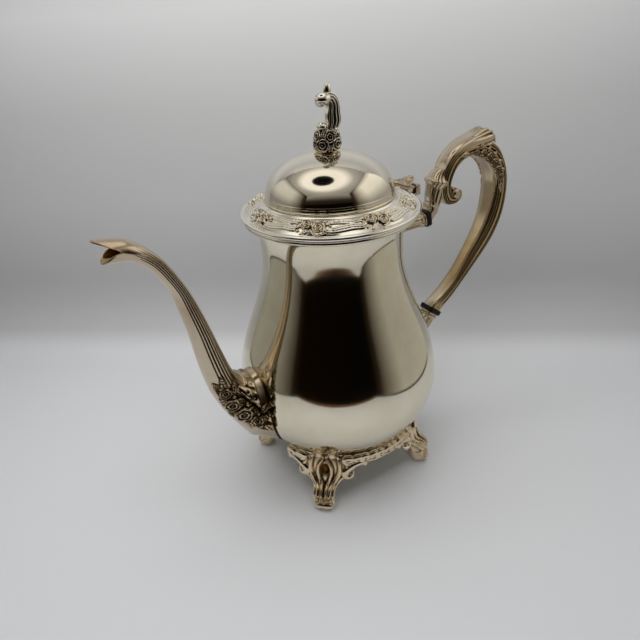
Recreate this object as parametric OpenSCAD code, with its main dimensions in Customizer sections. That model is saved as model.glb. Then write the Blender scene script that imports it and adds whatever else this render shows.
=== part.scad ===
// Footed coffee pot in silver plate, with a hinged domed lid, a swan-neck spout and an
// insulated scroll handle. Millimetres. The origin is on the body's axis at the floor,
// +Z is up, the handle points along +X and the spout along -X.

/* [Body] */
// Largest radius of the body
belly_r = 65.5; // [63:0.5:68]
// Height of the widest place
belly_z = 75; // [72:0.5:78]
// Upright radius of the bowl below the widest place
bowl_h = 55; // [53:0.5:57]
// Radius of the neck at its narrowest place
neck_r = 43.3; // [42:0.1:45]
// Height of the narrowest place
neck_z = 162; // [158:0.5:165]
// Radius of the mouth
mouth_r = 49; // [48:0.25:50]
// Height of the mouth's edge
mouth_z = 186; // [184:0.5:190]
// Height of the shell's lower edge
seat_z = 33; // [31:0.5:34]
// Wall of the raised sheet
shell_t = 1.2; // [0.8:0.1:1.6]
// How far the rim moulding stands out from the mouth
rim_out = 3.4; // [2.5:0.1:4]
// Height of the rim moulding
rim_h = 3; // [2:0.1:4]
// Height that the bottom is pushed up in the middle
bottom_rise = 3; // [1:0.5:5]

/* [Strainer] */
// Diameter of one strainer hole
strainer_d = 4; // [2:0.5:5]
// Spacing of the strainer holes
strainer_pitch = 7; // [6:0.5:9]
// Height of the middle of the strainer
strainer_z = 72; // [68:1:76]

/* [Lid] */
// Outer radius of the lid's border
border_r = 54; // [53.5:0.25:56]
// Height of the border from its outer edge to the dome
border_rise = 8.5; // [7.5:0.25:9.5]
// Radius of the round bead on the border's edge
bead_r = 1.3; // [1:0.1:1.6]
// Radius of the dome at its foot
dome_r = 38.4; // [37:0.2:40]
// Height of the dome above the border
dome_h = 26; // [24:0.5:28]
// Roundness of the dome's outline, 2 is an ellipse
dome_power = 2.2; // [2:0.05:2.6]
// Sheet thickness of the dome
dome_t = 1; // [0.8:0.1:1.4]
// Depth that the bezel reaches into the mouth
bezel_h = 8; // [6:0.5:10]
// Wall of the bezel
bezel_t = 1; // [0.8:0.1:1.4]
// Radial clearance of the bezel in the mouth
bezel_gap = 1; // [0.8:0.1:1.4]
// Height of the gap between the closed lid and the rim
lid_gap = 0.3; // [0.3:0.05:0.6]

/* [Hinge] */
// Distance of the hinge axis outside the border's edge
hinge_out = 7.7; // [7.5:0.1:8.5]
// Height of the hinge axis above the mouth
hinge_up = 3; // [2.6:0.1:3.6]
// Length of the hinge
hinge_l = 16; // [14:0.5:20]
// Length of the lid's knuckle
lid_knuckle_l = 7.4; // [6:0.1:8.5]
// Outer radius of the knuckles
knuckle_r = 1.8; // [1.6:0.1:2]
// Radius of the hinge pin
pin_r = 0.9; // [0.7:0.05:1]
// Radial running clearance of the pin in the lid's knuckle
pin_gap = 0.05; // [0.02:0.01:0.1]
// Side clearance between knuckles
knuckle_gap = 0.3; // [0.3:0.05:0.5]
// Thickness of the hinge's leaves
leaf_t = 1.4; // [1:0.1:1.8]

/* [Spout] */
// Wall of the spout
spout_t = 1.4; // [1:0.1:1.8]
// Half width of the spout's root on the body
root_w = 20; // [18:0.5:21]
// Lower end of the root on the body
root_low = 37.5; // [36:0.5:40]
// Upper end of the root on the body
root_high = 97; // [94:0.5:99]
// Depth of the flutes on the spout's sides
flute_d = 0.45; // [0:0.05:0.6]
// Length of the upper lip past the mouth ring
lip_up = 7.5; // [5:0.5:8]
// Length of the lower lip past the mouth ring
lip_low = 5; // [3:0.5:6]
// Depth of the notch between the lips
lip_notch = 4.5; // [2:0.5:5]

/* [Handle] */
// Distance of the upper insulator outside the widest place of the body
upper_out = 8.5; // [8:0.25:11]
// Height of the upper insulator
upper_z = 164; // [162:0.1:166]
// Distance of the lower insulator outside the widest place of the body
lower_out = 18.2; // [17.5:0.1:20]
// Height of the lower insulator
lower_z = 91.2; // [90:0.1:92.5]
// Thickness of the insulators
insulator_t = 3.4; // [3:0.1:4]
// Width of the insulators across the handle
insulator_w = 12.4; // [11.5:0.1:13]
// Depth of the upper insulator
upper_insulator_d = 10.6; // [10:0.1:11.5]
// Depth of the lower insulator
lower_insulator_d = 13; // [12:0.1:14]
// Depth of the reeds on the handle's sides
reed_d = 0.45; // [0:0.05:0.6]
// Diameter of the pins that hold the insulators
insulator_pin_d = 2; // [1.5:0.1:2.5]

/* [Finial] */
// Radius of the finial's flower bunch
bunch_r = 7.6; // [6.5:0.1:8]
// Height of the flower bunch
bunch_h = 11; // [10:0.5:12]
// Height of the curled stem above the bunch
stem_h = 20; // [18:0.5:22]
// Radius of the finial's screw
stud_r = 1.5; // [1:0.1:2]
// Clearance of the screw in the dome
stud_gap = 0.3; // [0.2:0.05:0.5]
// Radius of the washer under the finial
washer_r = 7; // [6:0.2:8]
// Width of the nut across its flats
nut_w = 5.5; // [5:0.5:7]

/* [Feet] */
// Radius on which the toes stand
toe_r = 58; // [56:0.5:60]
// Half width of a foot's shank
shank_w = 6.2; // [5:0.1:7]
// Half width of a foot's leaf fan
fan_w = 16.5; // [15:0.5:18]
// Radius of the fans' and gallery's outer face
gallery_r = 51; // [50:0.25:52]
// Thickness of the gallery
gallery_t = 2.6; // [2:0.1:3]
// Number of scroll rings in each gallery length
gallery_rings = 5; // [3:1:7]
// Width of the gallery's opening under the spout
gallery_gap = 26; // [24:0.5:28]

/* [Hidden] */
$fn = 96;

silver = [0.80, 0.77, 0.70];
dark_silver = [0.62, 0.57, 0.48];
black = [0.05, 0.05, 0.05];

// Film of solder between pieces of one body that are joined
solder = 0.05;
// Number of slices in a revolved outline
slices = 36;
// Number of sides of the swept castings
spout_sides = 48;
handle_sides = 32;
foot_sides = 28;

hinge_x = border_r + hinge_out;
hinge_z = mouth_z + hinge_up;
lid_z = mouth_z + lid_gap;
dome_z = lid_z + border_rise;
dome_top = dome_z + dome_h;
bezel_r = body_r(mouth_z - bezel_h) - shell_t - bezel_gap;
pad_t = 1;
finial_z = dome_top + pad_t;

// ---- Outlines and curves ----

// Outer radius of the body at height z
function body_r(z) =
    z < belly_z ? belly_r * sqrt(1 - pow((belly_z - z) / bowl_h, 2)) :
    z < neck_z ? neck_r + (belly_r - neck_r) * (1 + cos(180 * (z - belly_z) / (neck_z - belly_z))) / 2 :
    neck_r + (mouth_r - neck_r) * pow((z - neck_z) / (mouth_z - neck_z), 2.8);

// Height of the body's underside at radius r
function under_z(r) = belly_z - bowl_h * sqrt(1 - pow(r / belly_r, 2));

// Radius of the built wall, which is straight between the slices of the body's outline
function wall_r(z) =
    let (t = (z - seat_z) / (mouth_z - seat_z) * slices, i = min(floor(t), slices - 1), f = t - i)
    let (step = (mouth_z - seat_z) / slices)
    body_r(seat_z + i * step) * (1 - f) + body_r(seat_z + (i + 1) * step) * f;

// Outline of the body between two heights, moved inwards by an amount
function body_line(z0, z1, inset) =
    [for (k = [0 : slices]) let (z = z0 + (z1 - z0) * k / slices) [body_r(z) - inset, z]];

// Outline of the dome, shrunk by an amount
function dome_line(inset) =
    [for (k = [0 : slices]) let (a = 90 * k / slices)
        [(dome_r - inset) * pow(cos(a), 2 / dome_power),
         dome_z + (dome_h - inset) * pow(sin(a), 2 / dome_power)]];

function flip(list) = [for (i = [len(list) - 1 : -1 : 0]) list[i]];

// Smooth curve through four neighbouring values
function blend(a, b, c, d, f) =
    0.5 * (2 * b + (c - a) * f + (2 * a - 5 * b + 4 * c - d) * f * f + (3 * b - a - 3 * c + d) * f * f * f);

// Value of a station list at a place between its stations
function along(list, t) =
    let (last = len(list) - 1, i = min(floor(t), last - 1))
    blend(list[max(i - 1, 0)], list[i], list[i + 1], list[min(i + 2, last)], t - i);

// Stations of a list, with steps from each one to the next
function refine(list, steps) =
    [for (k = [0 : steps * (len(list) - 1)]) along(list, k / steps)];

// Power of a number that keeps its sign
function bow(v, p) = sign(v) * pow(abs(v), p);

// Wave of grooves that covers the two sides of a section
function groove(a, count, spread) =
    let (side = abs(abs(a > 180 ? a - 360 : a) - 90))
    side < spread ? (1 - cos(360 * count * (side / spread + 1) / 2)) / 2 : 0;

// Section of a casting. A station is [x, z of the upper edge, x, z of the lower edge, half width]
function section(s, sides, power, inset = 0, depth = 0, count = 4, spread = 45) =
    let (mid = [s[0] + s[2], s[1] + s[3]] / 2, half = [s[0] - s[2], s[1] - s[3]] / 2)
    let (shrink = 1 - inset / norm(half))
    [for (i = [0 : sides - 1])
        let (a = 360 * i / sides, c = bow(cos(a), power) * shrink)
        let (w = bow(sin(a), power) * (s[4] - inset - depth * groove(a, count, spread)))
        [mid.x + half.x * c, w, mid.y + half.y * c]];

// ---- Shared shapes ----

// Solid between rings of points, closed by flat fans at both ends
module skin(rings) {
    m = len(rings[0]);
    n = len(rings);
    ends = [centre(rings[0]), centre(rings[n - 1])];
    points = concat([for (r = rings) each r], ends);
    sides = [for (k = [0 : n - 2], i = [0 : m - 1])
        let (a = k * m + i, b = k * m + (i + 1) % m)
        each [[a, b, b + m], [a, b + m, a + m]]];
    first = [for (i = [0 : m - 1]) [(i + 1) % m, i, n * m]];
    last = [for (i = [0 : m - 1]) let (o = (n - 1) * m) [o + i, o + (i + 1) % m, n * m + 1]];
    polyhedron(points, concat(sides, first, last));
}

// Middle of a list of points
function centre(r) = total(r, 0) / len(r);
function total(r, i) = i == len(r) - 1 ? r[i] : r[i] + total(r, i + 1);

// Hollow solid whose rings run out over the outside and back through the inside
module tube(rings) {
    m = len(rings[0]);
    n = len(rings);
    sides = [for (k = [0 : n - 1], i = [0 : m - 1])
        let (a = k * m + i, b = k * m + (i + 1) % m)
        let (c = (a + m) % (n * m), d = (b + m) % (n * m))
        each [[a, b, d], [a, d, c]]];
    polyhedron([for (r = rings) each r], sides);
}

// Block with rounded corners, standing on its z = 0 face
module rounded_block(w, d, h, r) {
    linear_extrude(height = h)
        union() {
            square([w - 2 * r, d], center = true);
            square([w, d - 2 * r], center = true);
            for (x = [-1, 1], y = [-1, 1])
                translate([x * (w / 2 - r), y * (d / 2 - r)]) circle(r = r, $fn = 32);
        }
}

// ---- Body ----

module body_shell() {
    color(silver)
        difference() {
            rotate_extrude()
                polygon(concat(body_line(seat_z, mouth_z, 0), flip(body_line(seat_z, mouth_z, shell_t))));
            strainer_holes();
        }
}

// Rows of holes that let the coffee into the spout and hold the grounds back
module strainer_holes() {
    for (row = [-2 : 2], i = [0 : 4 - abs(row)])
        translate([-belly_r - 3, (i - (4 - abs(row)) / 2) * strainer_pitch,
                   strainer_z + row * strainer_pitch * sin(60)])
            rotate([0, 90, 0]) cylinder(d = strainer_d, h = belly_r / 2, $fn = 32);
}

module body_bottom() {
    r = body_r(seat_z) - shell_t - solder;
    color(silver)
        rotate_extrude()
            polygon(concat(
                [for (k = [0 : 12]) [r * k / 12, seat_z + bottom_rise * (1 - pow(k / 12, 2))]],
                [for (k = [12 : -1 : 0]) [r * k / 12, seat_z + shell_t + bottom_rise * (1 - pow(k / 12, 2))]]));
}

// Applied wire under the edge of the mouth, seated on the flare of the neck
module rim_moulding() {
    top = mouth_z - 0.2;
    color(silver)
        rotate_extrude()
            polygon(concat(
                [for (k = [0 : 6]) let (z = top - rim_h + rim_h * k / 6) [wall_r(z) + solder, z]],
                [for (a = [90 : -15 : -90])
                    [mouth_r + rim_out - rim_h / 2 + rim_h / 2 * cos(a), top - rim_h / 2 + rim_h / 2 * sin(a)]]));
}

// ---- Spout ----

// Upper edge, lower edge (each as distance outside the belly and height) and half width
spout_stations = [
    [64.5, 201.0, 64.5, 187.6, 7.0],
    [55.5, 198.0, 58.5, 187.2, 6.4],
    [48.0, 192.6, 53.7, 185.0, 6.0],
    [41.0, 185.0, 48.0, 179.9, 5.9],
    [35.2, 175.7, 43.2, 171.8, 5.9],
    [29.7, 164.2, 38.8, 162.2, 6.0],
    [25.1, 151.5, 36.1, 149.5, 6.4],
    [20.5, 136.1, 33.3, 134.5, 7.2],
    [15.8, 118.7, 31.4, 118.7, 8.4],
    [11.5, 104.5, 29.1, 104.0, 10.0],
    [7.0, 97.6, 25.0, 88.0, 12.6],
    [3.0, 95.6, 17.5, 71.0, 15.8],
    [0.6, 96.2, 6.5, 52.5, 18.4]];

// Station with its distances turned into places on the spout's side of the body
function spout_station(s) = [-belly_r - s[0], s[1], -belly_r - s[2], s[3], s[4]];

// Mouth ring with its long upper lip, side notches and lower lip
function lip(ring) =
    [for (i = [0 : spout_sides - 1])
        let (a = 360 * i / spout_sides, up = max(cos(a), 0), down = max(-cos(a), 0))
        let (reach = (lip_up + lip_notch) * pow(up, 1.3) + (lip_low + lip_notch) * pow(down, 0.6) - lip_notch)
        ring[i] + reach * [-1, 0, 0.08]];

// Root ring, every point of which lies on the body
function root(inset) =
    let (mid = (root_high + root_low) / 2, half = (root_high - root_low) / 2 - inset)
    [for (i = [0 : spout_sides - 1])
        let (a = 360 * i / spout_sides, z = mid + half * cos(a), y = (root_w - inset) * sin(a))
        [-sqrt(pow(body_r(z) + solder, 2) - y * y), y, z]];

module spout() {
    stations = [for (s = spout_stations) spout_station(s)];
    outer = [for (s = refine(stations, 2)) section(s, spout_sides, 1, 0, flute_d)];
    inner = [for (s = flip(stations)) section(s, spout_sides, 1, spout_t)];
    outer_body = [for (k = [1 : len(outer) - 1]) outer[k]];
    inner_body = [for (k = [0 : len(inner) - 2]) inner[k]];
    color(silver)
        tube(concat([lip(outer[0])], outer_body, [root(0), root(spout_t)], inner_body,
            [lip(inner[len(inner) - 1])]));
}

// ---- Lid ----

// Half section of the border: edge bead, raised ornament band and seat for the dome
module lid_border() {
    bead_x = border_r - bead_r;
    bead_z = lid_z + bead_r;
    inner_r = dome_r - 2;
    ledge_z = dome_z - 1.6;
    color(silver)
        rotate_extrude()
            polygon(concat(
                [for (a = [-90 : 15 : 90]) [bead_x + bead_r * cos(a), bead_z + bead_r * sin(a)]],
                [[bead_x - bead_r, bead_z + bead_r * 0.6],
                 [bead_x - bead_r - 1, bead_z + bead_r * 0.8]],
                [for (k = [0 : 8]) let (f = k / 8)
                    [bead_x - bead_r - 1.4 - (bead_x - bead_r - 1.4 - dome_r - 2.6) * f,
                     bead_z + bead_r + (dome_z - 1 - bead_z - bead_r) * f + 0.5 * sin(180 * f)]],
                [[dome_r + 1.6, dome_z - 0.2], [dome_r + 0.8, dome_z], [inner_r, dome_z],
                 [inner_r, ledge_z],
                 [bezel_r - 2.4, ledge_z - 2.4],
                 [bezel_r + 0.6, ledge_z - 2.4],
                 [mouth_r - 0.4, lid_z]]));
}

module lid_dome() {
    color(silver)
        difference() {
            union() {
                rotate_extrude()
                    polygon(concat(dome_line(0), flip(dome_line(dome_t))));
                // flat pad that the washer sits on
                translate([0, 0, dome_top - dome_t]) cylinder(r = washer_r - 0.6, h = dome_t + 0.2);
            }
            translate([0, 0, dome_top - 2 * dome_t]) cylinder(r = stud_r + stud_gap, h = 4 * dome_t, $fn = 48);
        }
}

module lid_bezel() {
    top = dome_z - 4;
    color(silver)
        translate([0, 0, mouth_z - bezel_h])
            difference() {
                cylinder(r = bezel_r, h = top - mouth_z + bezel_h);
                translate([0, 0, -1]) cylinder(r = bezel_r - bezel_t, h = top - mouth_z + bezel_h + 2);
            }
}

// ---- Finial ----

module finial_washer() {
    color(dark_silver)
        translate([0, 0, dome_top + 0.2])
            difference() {
                cylinder(r = washer_r, h = pad_t - 0.2);
                translate([0, 0, -1]) cylinder(r = stud_r + stud_gap, h = pad_t + 2, $fn = 48);
            }
}

// Curled stem as front edge, back edge and half width above the bunch
stem_stations = [
    [-2.0, -1.0, 5.5, -1.0, 3.4],
    [-0.4, 0.18, 9.2, 0.16, 3.8],
    [-0.4, 0.40, 9.0, 0.46, 3.8],
    [0.6, 0.58, 8.2, 0.72, 3.6],
    [0.4, 0.68, 5.6, 0.92, 3.4],
    [-0.8, 0.66, 1.6, 1.00, 3.4],
    [-2.8, 0.60, -3.0, 0.98, 3.4],
    [-4.6, 0.62, -5.8, 0.84, 2.6]];

function stem_station(s) =
    let (z = finial_z + bunch_h) [s[0], z + max(s[1], -0.1) * stem_h, s[2], z + max(s[3], -0.1) * stem_h, s[4]];

module finial() {
    top = finial_z + bunch_h;
    color(silver)
        union() {
            skin([for (s = refine([for (s = stem_stations) stem_station(s)], 2)) section(s, 16, 1)]);
            // round bud that ends the curled stem
            translate([-2.2, 0, top + stem_h * 0.8]) sphere(r = stem_h * 0.185, $fn = 24);
            // small upright tip
            translate([1.8, 0, top + stem_h * 0.9]) cylinder(r1 = 2, r2 = 1, h = stem_h * 0.32, $fn = 24);
            // scroll eye on the spout side
            translate([-3.4, 0, top + 2]) rotate([90, 0, 0]) cylinder(r = 2.5, h = 5, center = true, $fn = 24);
            // bunch of blossoms
            translate([0, 0, finial_z]) cylinder(r1 = bunch_r - 1.2, r2 = bunch_r - 3, h = bunch_h, $fn = 32);
            for (k = [0 : 5])
                rotate([0, 0, 60 * k]) translate([bunch_r - 2.6, 0, finial_z + bunch_h * 0.33]) sphere(r = 2.9, $fn = 20);
            for (k = [0 : 4])
                rotate([0, 0, 72 * k]) translate([bunch_r - 3.4, 0, finial_z + bunch_h * 0.8]) sphere(r = 2.7, $fn = 20);
            // screw that holds the finial in the dome
            translate([0, 0, finial_z - 7]) cylinder(r = stud_r, h = 8, $fn = 48);
        }
}

module finial_nut() {
    h = 2.4;
    color(dark_silver)
        translate([0, 0, dome_top - dome_t - 2 * solder - h])
            difference() {
                cylinder(d = nut_w / cos(30), h = h, $fn = 6);
                translate([0, 0, -1]) cylinder(r = stud_r, h = h + 2, $fn = 48);
            }
}

// ---- Hinge ----

module along_y(r, l, y = 0) {
    translate([hinge_x, y + l / 2, hinge_z]) rotate([90, 0, 0]) cylinder(r = r, h = l, $fn = 48);
}

module hinge_pin() {
    color(dark_silver) along_y(pin_r, hinge_l + 1);
}

// Fixed leaf: a bracket from the rim moulding and the two outer knuckles
module body_hinge_leaf() {
    side_l = (hinge_l - lid_knuckle_l) / 2 - knuckle_gap;
    side_y = lid_knuckle_l / 2 + knuckle_gap + side_l / 2;
    start = mouth_r + rim_out - 0.9;
    leaf_top = mouth_z - 0.6;
    color(silver)
        difference() {
            union() {
                for (y = [-side_y, side_y]) along_y(knuckle_r, side_l, y);
                for (y = [-side_y, side_y])
                    translate([hinge_x - knuckle_r, y - side_l / 2, leaf_top - leaf_t])
                        cube([2 * knuckle_r, side_l, hinge_z - leaf_top + leaf_t]);
                translate([start, -hinge_l / 2, leaf_top - leaf_t])
                    cube([hinge_x + knuckle_r - start, hinge_l, leaf_t]);
            }
            along_y(pin_r, hinge_l + 4);
            rim_clear();
        }
}

// Space taken by the rim moulding and its solder
module rim_clear() {
    cylinder_top = mouth_z + 1;
    translate([0, 0, mouth_z - 8])
        cylinder(r = mouth_r + rim_out + solder, h = cylinder_top - mouth_z + 8);
}

// Moving leaf: a plate on the border and the middle knuckle
module lid_hinge_leaf() {
    plate_z = dome_z - 0.6;
    plate_x = dome_r + 3;
    low_x = border_r - bead_r;
    low_z = lid_z + 2 * bead_r + 0.3;
    color(dark_silver)
        difference() {
            union() {
                // plate that follows the slope of the border
                rotate([90, 0, 0])
                    linear_extrude(height = hinge_l + 1, center = true)
                        polygon([[plate_x, plate_z], [plate_x, plate_z + leaf_t], [low_x, low_z + leaf_t + 0.4],
                            [hinge_x - 3.6, low_z + leaf_t], [hinge_x - 3.6, low_z], [low_x, low_z]]);
                // tongue to the knuckle
                rotate([90, 0, 0])
                    linear_extrude(height = lid_knuckle_l, center = true)
                        polygon([[hinge_x - 4, low_z], [hinge_x - 4, low_z + leaf_t], [hinge_x, hinge_z + knuckle_r],
                            [hinge_x, hinge_z - 0.4]]);
                along_y(knuckle_r, lid_knuckle_l);
            }
            along_y(pin_r + pin_gap, hinge_l + 4);
        }
}

// ---- Handle ----

upper_tilt = 82;
lower_tilt = 38;
upper_x = belly_r + upper_out;
lower_x = belly_r + lower_out;

// Places a piece in the frame of an insulator, with the handle on its +Z side
module at_upper() {
    translate([upper_x, 0, upper_z]) rotate([0, upper_tilt, 0]) children();
}

module at_lower() {
    translate([lower_x, 0, lower_z]) rotate([0, lower_tilt, 0]) children();
}

module upper_insulator() {
    color(black)
        difference() {
            at_upper() translate([0, 0, -insulator_t / 2])
                rounded_block(upper_insulator_d, insulator_w, insulator_t, 2.5);
            at_upper() pin_bore();
        }
}

module lower_insulator() {
    color(black)
        difference() {
            at_lower() translate([0, 0, -insulator_t / 2])
                rounded_block(lower_insulator_d, insulator_w, insulator_t, 2.5);
            at_lower() pin_bore();
        }
}

module pin_bore() {
    cylinder(d = insulator_pin_d, h = 3 * insulator_t, center = true, $fn = 32);
}

// Two pins that run through the insulators into the sockets and the handle
module insulator_pins() {
    color(dark_silver) {
        at_upper() cylinder(d = insulator_pin_d, h = insulator_t, center = true, $fn = 32);
        at_lower() cylinder(d = insulator_pin_d, h = insulator_t, center = true, $fn = 32);
    }
}

// Point on an insulator's face, as x and z, at a distance towards the handle and up the face
function face(x, z, tilt, out, up) =
    [x + out * sin(tilt) - up * cos(tilt), z + out * cos(tilt) + up * sin(tilt)];

// Ring of a socket's root, every point of which lies on the body, at a share of its full size
function socket_end(z_up, z_low, w, share) =
    [for (i = [0 : 23])
        let (a = 360 * i / 24, y = w * share * sin(a))
        let (z = (z_up + z_low) / 2 + (z_up - z_low) / 2 * share * cos(a))
        [sqrt(pow(body_r(z) + solder, 2) - y * y), y, z]];

// Tapered socket from the body to the body-side face of an insulator
module socket(x, z, tilt, d, z_up, z_low, w) {
    up = face(x, z, tilt, -insulator_t / 2 - solder, d / 2 - 0.6);
    low = face(x, z, tilt, -insulator_t / 2 - solder, -d / 2 + 0.6);
    up_in = face(x, z, tilt, -insulator_t / 2 - 3, d / 2 - 1);
    low_in = face(x, z, tilt, -insulator_t / 2 - 3, -d / 2 + 1);
    color(silver)
        skin([for (r = [socket_end(z_up, z_low, w, 0.15),
                        socket_end(z_up, z_low, w, 0.6),
                        socket_end(z_up, z_low, w, 1),
                        section([up_in.x, up_in.y, low_in.x, low_in.y, insulator_w / 2 - 1.2], 24, 0.75),
                        section([up.x, up.y, low.x, low.y, insulator_w / 2 - 0.6], 24, 0.6)]) flip(r)]);
}

module upper_socket() {
    socket(upper_x, upper_z, upper_tilt, upper_insulator_d, upper_z + 6, upper_z - 6, 7);
}

module lower_socket() {
    socket(lower_x, lower_z, lower_tilt, lower_insulator_d, lower_z - 5, lower_z - 27, 8);
}

// Main band from the lower insulator over the top to the volute: outer edge, inner edge (as
// distance outside the lower insulator and height above it) and half width
band_stations = [
    [9.2, 1.6, 0.4, 8.2, 5.4],
    [16.2, 7.4, 9.0, 13.0, 5.3],
    [25.2, 15.8, 18.4, 21.0, 5.4],
    [34.2, 24.4, 26.0, 30.4, 5.6],
    [44.8, 35.0, 33.4, 41.0, 6.0],
    [53.8, 46.8, 40.4, 51.4, 6.8],
    [59.8, 61.0, 46.4, 64.2, 7.7],
    [61.4, 77.0, 49.2, 79.2, 8.5],
    [59.8, 93.0, 48.4, 91.0, 8.5],
    [52.8, 108.0, 43.0, 99.2, 8.0],
    [42.4, 116.0, 35.0, 105.4, 7.5],
    [30.0, 119.0, 26.6, 108.4, 7.0],
    [17.4, 117.2, 20.0, 107.0, 6.8],
    [7.2, 110.8, 13.6, 102.6, 6.6],
    [1.4, 100.6, 10.0, 95.0, 6.2],
    [1.4, 89.0, 10.0, 89.6, 5.8],
    [5.0, 80.4, 13.0, 85.4, 5.4],
    [12.0, 77.8, 15.2, 84.6, 5.2],
    [19.6, 80.0, 15.6, 84.4, 5.0],
    [20.6, 86.0, 15.8, 84.6, 4.6],
    [15.4, 88.8, 15.6, 85.0, 4.0]];

// Short upright foot from above the upper insulator to the band: spout-side edge, handle-side
// edge (as distance outside the upper insulator and height above it) and half width
shank_stations = [
    [2.8, 9.4, 8.6, 2.6, 5.2],
    [2.4, 15.0, 12.4, 8.6, 5.0],
    [3.0, 20.0, 14.6, 14.6, 5.2],
    [4.0, 24.4, 15.6, 21.0, 6.3],
    [6.6, 28.0, 15.8, 27.0, 5.2],
    [10.2, 31.0, 16.4, 31.0, 4.6]];

// Shell-shaped crown that rises from the top of the band: upper edge, lower edge (as distance
// outside the lower insulator and height above it) and half width
crown_stations = [
    [4.6, 107.0, 11.4, 104.0, 4.6],
    [9.4, 113.4, 15.0, 108.0, 5.8],
    [16.0, 118.0, 20.0, 111.0, 6.6],
    [23.6, 120.8, 27.0, 112.0, 7.1],
    [31.4, 122.6, 34.4, 112.0, 7.6],
    [37.8, 124.2, 41.6, 112.4, 8.0],
    [40.6, 123.6, 46.4, 114.4, 7.6]];

function moved(list, x, z) =
    [for (s = list) [x + s[0], z + s[1], x + s[2], z + s[3], s[4]]];

// Station that seats the handle on an insulator's face
function seat(x, z, tilt, d) =
    let (up = face(x, z, tilt, insulator_t / 2 + solder, d / 2 - 0.6))
    let (low = face(x, z, tilt, insulator_t / 2 + solder, -d / 2 + 0.6))
    [low.x, low.y, up.x, up.y, insulator_w / 2 - 0.6];

// Station with its two edges exchanged
function swapped(s) = [s[2], s[3], s[0], s[1], s[4]];

module handle() {
    lower_seat = seat(lower_x, lower_z, lower_tilt, lower_insulator_d);
    upper_seat = seat(upper_x, upper_z, upper_tilt, upper_insulator_d);
    band = concat([lower_seat], moved(band_stations, lower_x, lower_z));
    shank = concat([swapped(upper_seat)], moved(shank_stations, upper_x, upper_z));
    crown = moved(crown_stations, lower_x, lower_z);
    color(silver)
        union() {
            skin([for (s = refine(band, 2)) flip(section(s, handle_sides, 0.6, 0, reed_d, 3))]);
            skin([for (s = refine(shank, 2)) section(s, handle_sides, 0.7)]);
            skin([for (s = refine(crown, 2)) section(s, handle_sides, 0.8)]);
        }
}

// ---- Base ----

// Front edge, back edge (each as distance from the toe circle and height) and half width, where
// a half width of 1 is the shank's and of 2 is the fan's
foot_stations = [
    [0.6, 0, -3.4, 0, 0.55],
    [3.4, 2.0, -5.0, 1.4, 0.85],
    [4.6, 6.0, -6.6, 4.4, 1.0],
    [4.4, 12.0, -8.6, 8.6, 1.0],
    [1.8, 16.0, -9.8, 12.6, 1.0],
    [-1.6, 18.4, -10.6, 16.0, 1.1],
    [-3.2, 21.4, -10.8, 19.4, 1.35],
    [-4.0, 25.2, -11.0, 23.0, 1.84],
    [-4.6, 29.0, -11.4, 26.4, 2.0],
    [-5.6, 33.0, -11.8, 29.6, 1.8],
    [-6.6, 36.4, -12.0, 32.4, 1.4]];

function foot_w(v) = v < 1 ? shank_w * v : shank_w + (fan_w - shank_w) * (v - 1);

// Ring of a foot, bent round the body's axis
function foot_ring(s) =
    let (flat = section([toe_r + s[0], s[1], toe_r + s[2], s[3], foot_w(s[4])], foot_sides, 0.72))
    [for (p = flat) let (a = p.y / gallery_r * 180 / PI) [p.x * cos(a), p.x * sin(a), p.z]];

// Same ring shrunk to a share of its size and raised until it meets the body's underside
function foot_top(ring, share) =
    let (mid = centre(ring))
    [for (p = ring) let (q = mid + (p - mid) * share) [q.x, q.y, under_z(norm([q.x, q.y])) - solder]];

module foot(angle) {
    rings = [for (s = refine(foot_stations, 2)) foot_ring(s)];
    tops = [for (share = [1 : -0.2 : 0.2]) foot_top(rings[len(rings) - 1], share)];
    color(silver)
        rotate([0, 0, angle])
            difference() {
                skin([for (r = concat(rings, tops)) flip(r)]);
                // teardrop hollow in the middle of the leaf fan
                translate([toe_r - 4.4, 0, 29]) rotate([0, 90, 0]) cylinder(r = 2.2, h = 5, center = true, $fn = 24);
            }
}

module foot_front_left() { foot(-135); }
module foot_front_right() { foot(-45); }
module foot_back_right() { foot(45); }
module foot_back_left() { foot(135); }

// One length of the scroll gallery between two feet
module gallery(angle) {
    span = 90 - 2 * (fan_w / gallery_r * 180 / PI) - 1;
    inner = gallery_r - gallery_t;
    rail = 2.4;
    drop = under_z(inner) - rail - solder;
    color(silver)
        rotate([0, 0, angle - span / 2])
            union() {
                rotate_extrude(angle = span)
                    polygon([[inner, drop], [gallery_r, drop + 0.6], [gallery_r, under_z(gallery_r) - solder],
                        [inner + gallery_t / 2, under_z(inner + gallery_t / 2) - solder],
                        [inner, under_z(inner) - solder]]);
                for (k = [0 : gallery_rings - 1])
                    rotate([0, 0, span * (k + 0.5) / gallery_rings])
                        translate([inner + 0.2, 0, drop - 1.8])
                            rotate([0, 90, 0])
                                scroll_ring(k == (gallery_rings - 1) / 2 ? 4.4 : 3.6);
            }
}

// Pierced ring with a bead in it, standing upright in the gallery
module scroll_ring(r) {
    difference() {
        cylinder(r = r, h = gallery_t - 0.4, $fn = 32);
        translate([0, 0, -1]) cylinder(r = r - 1.6, h = gallery_t + 2, $fn = 32);
    }
}

module gallery_front() { gallery(-90); }
module gallery_right() { gallery(0); }
module gallery_back() { gallery(90); }

// The gallery stops on either side of the spout
module gallery_left() {
    difference() {
        gallery(180);
        translate([-gallery_r - 5, -gallery_gap / 2, 0]) cube([10, gallery_gap, belly_z]);
    }
}

body_shell();
body_bottom();
rim_moulding();
spout();
lid_dome();
lid_border();
lid_bezel();
finial();
finial_washer();
finial_nut();
hinge_pin();
body_hinge_leaf();
lid_hinge_leaf();
upper_socket();
upper_insulator();
handle();
lower_insulator();
lower_socket();
insulator_pins();
foot_front_left();
foot_front_right();
foot_back_right();
foot_back_left();
gallery_front();
gallery_right();
gallery_back();
gallery_left();
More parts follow.
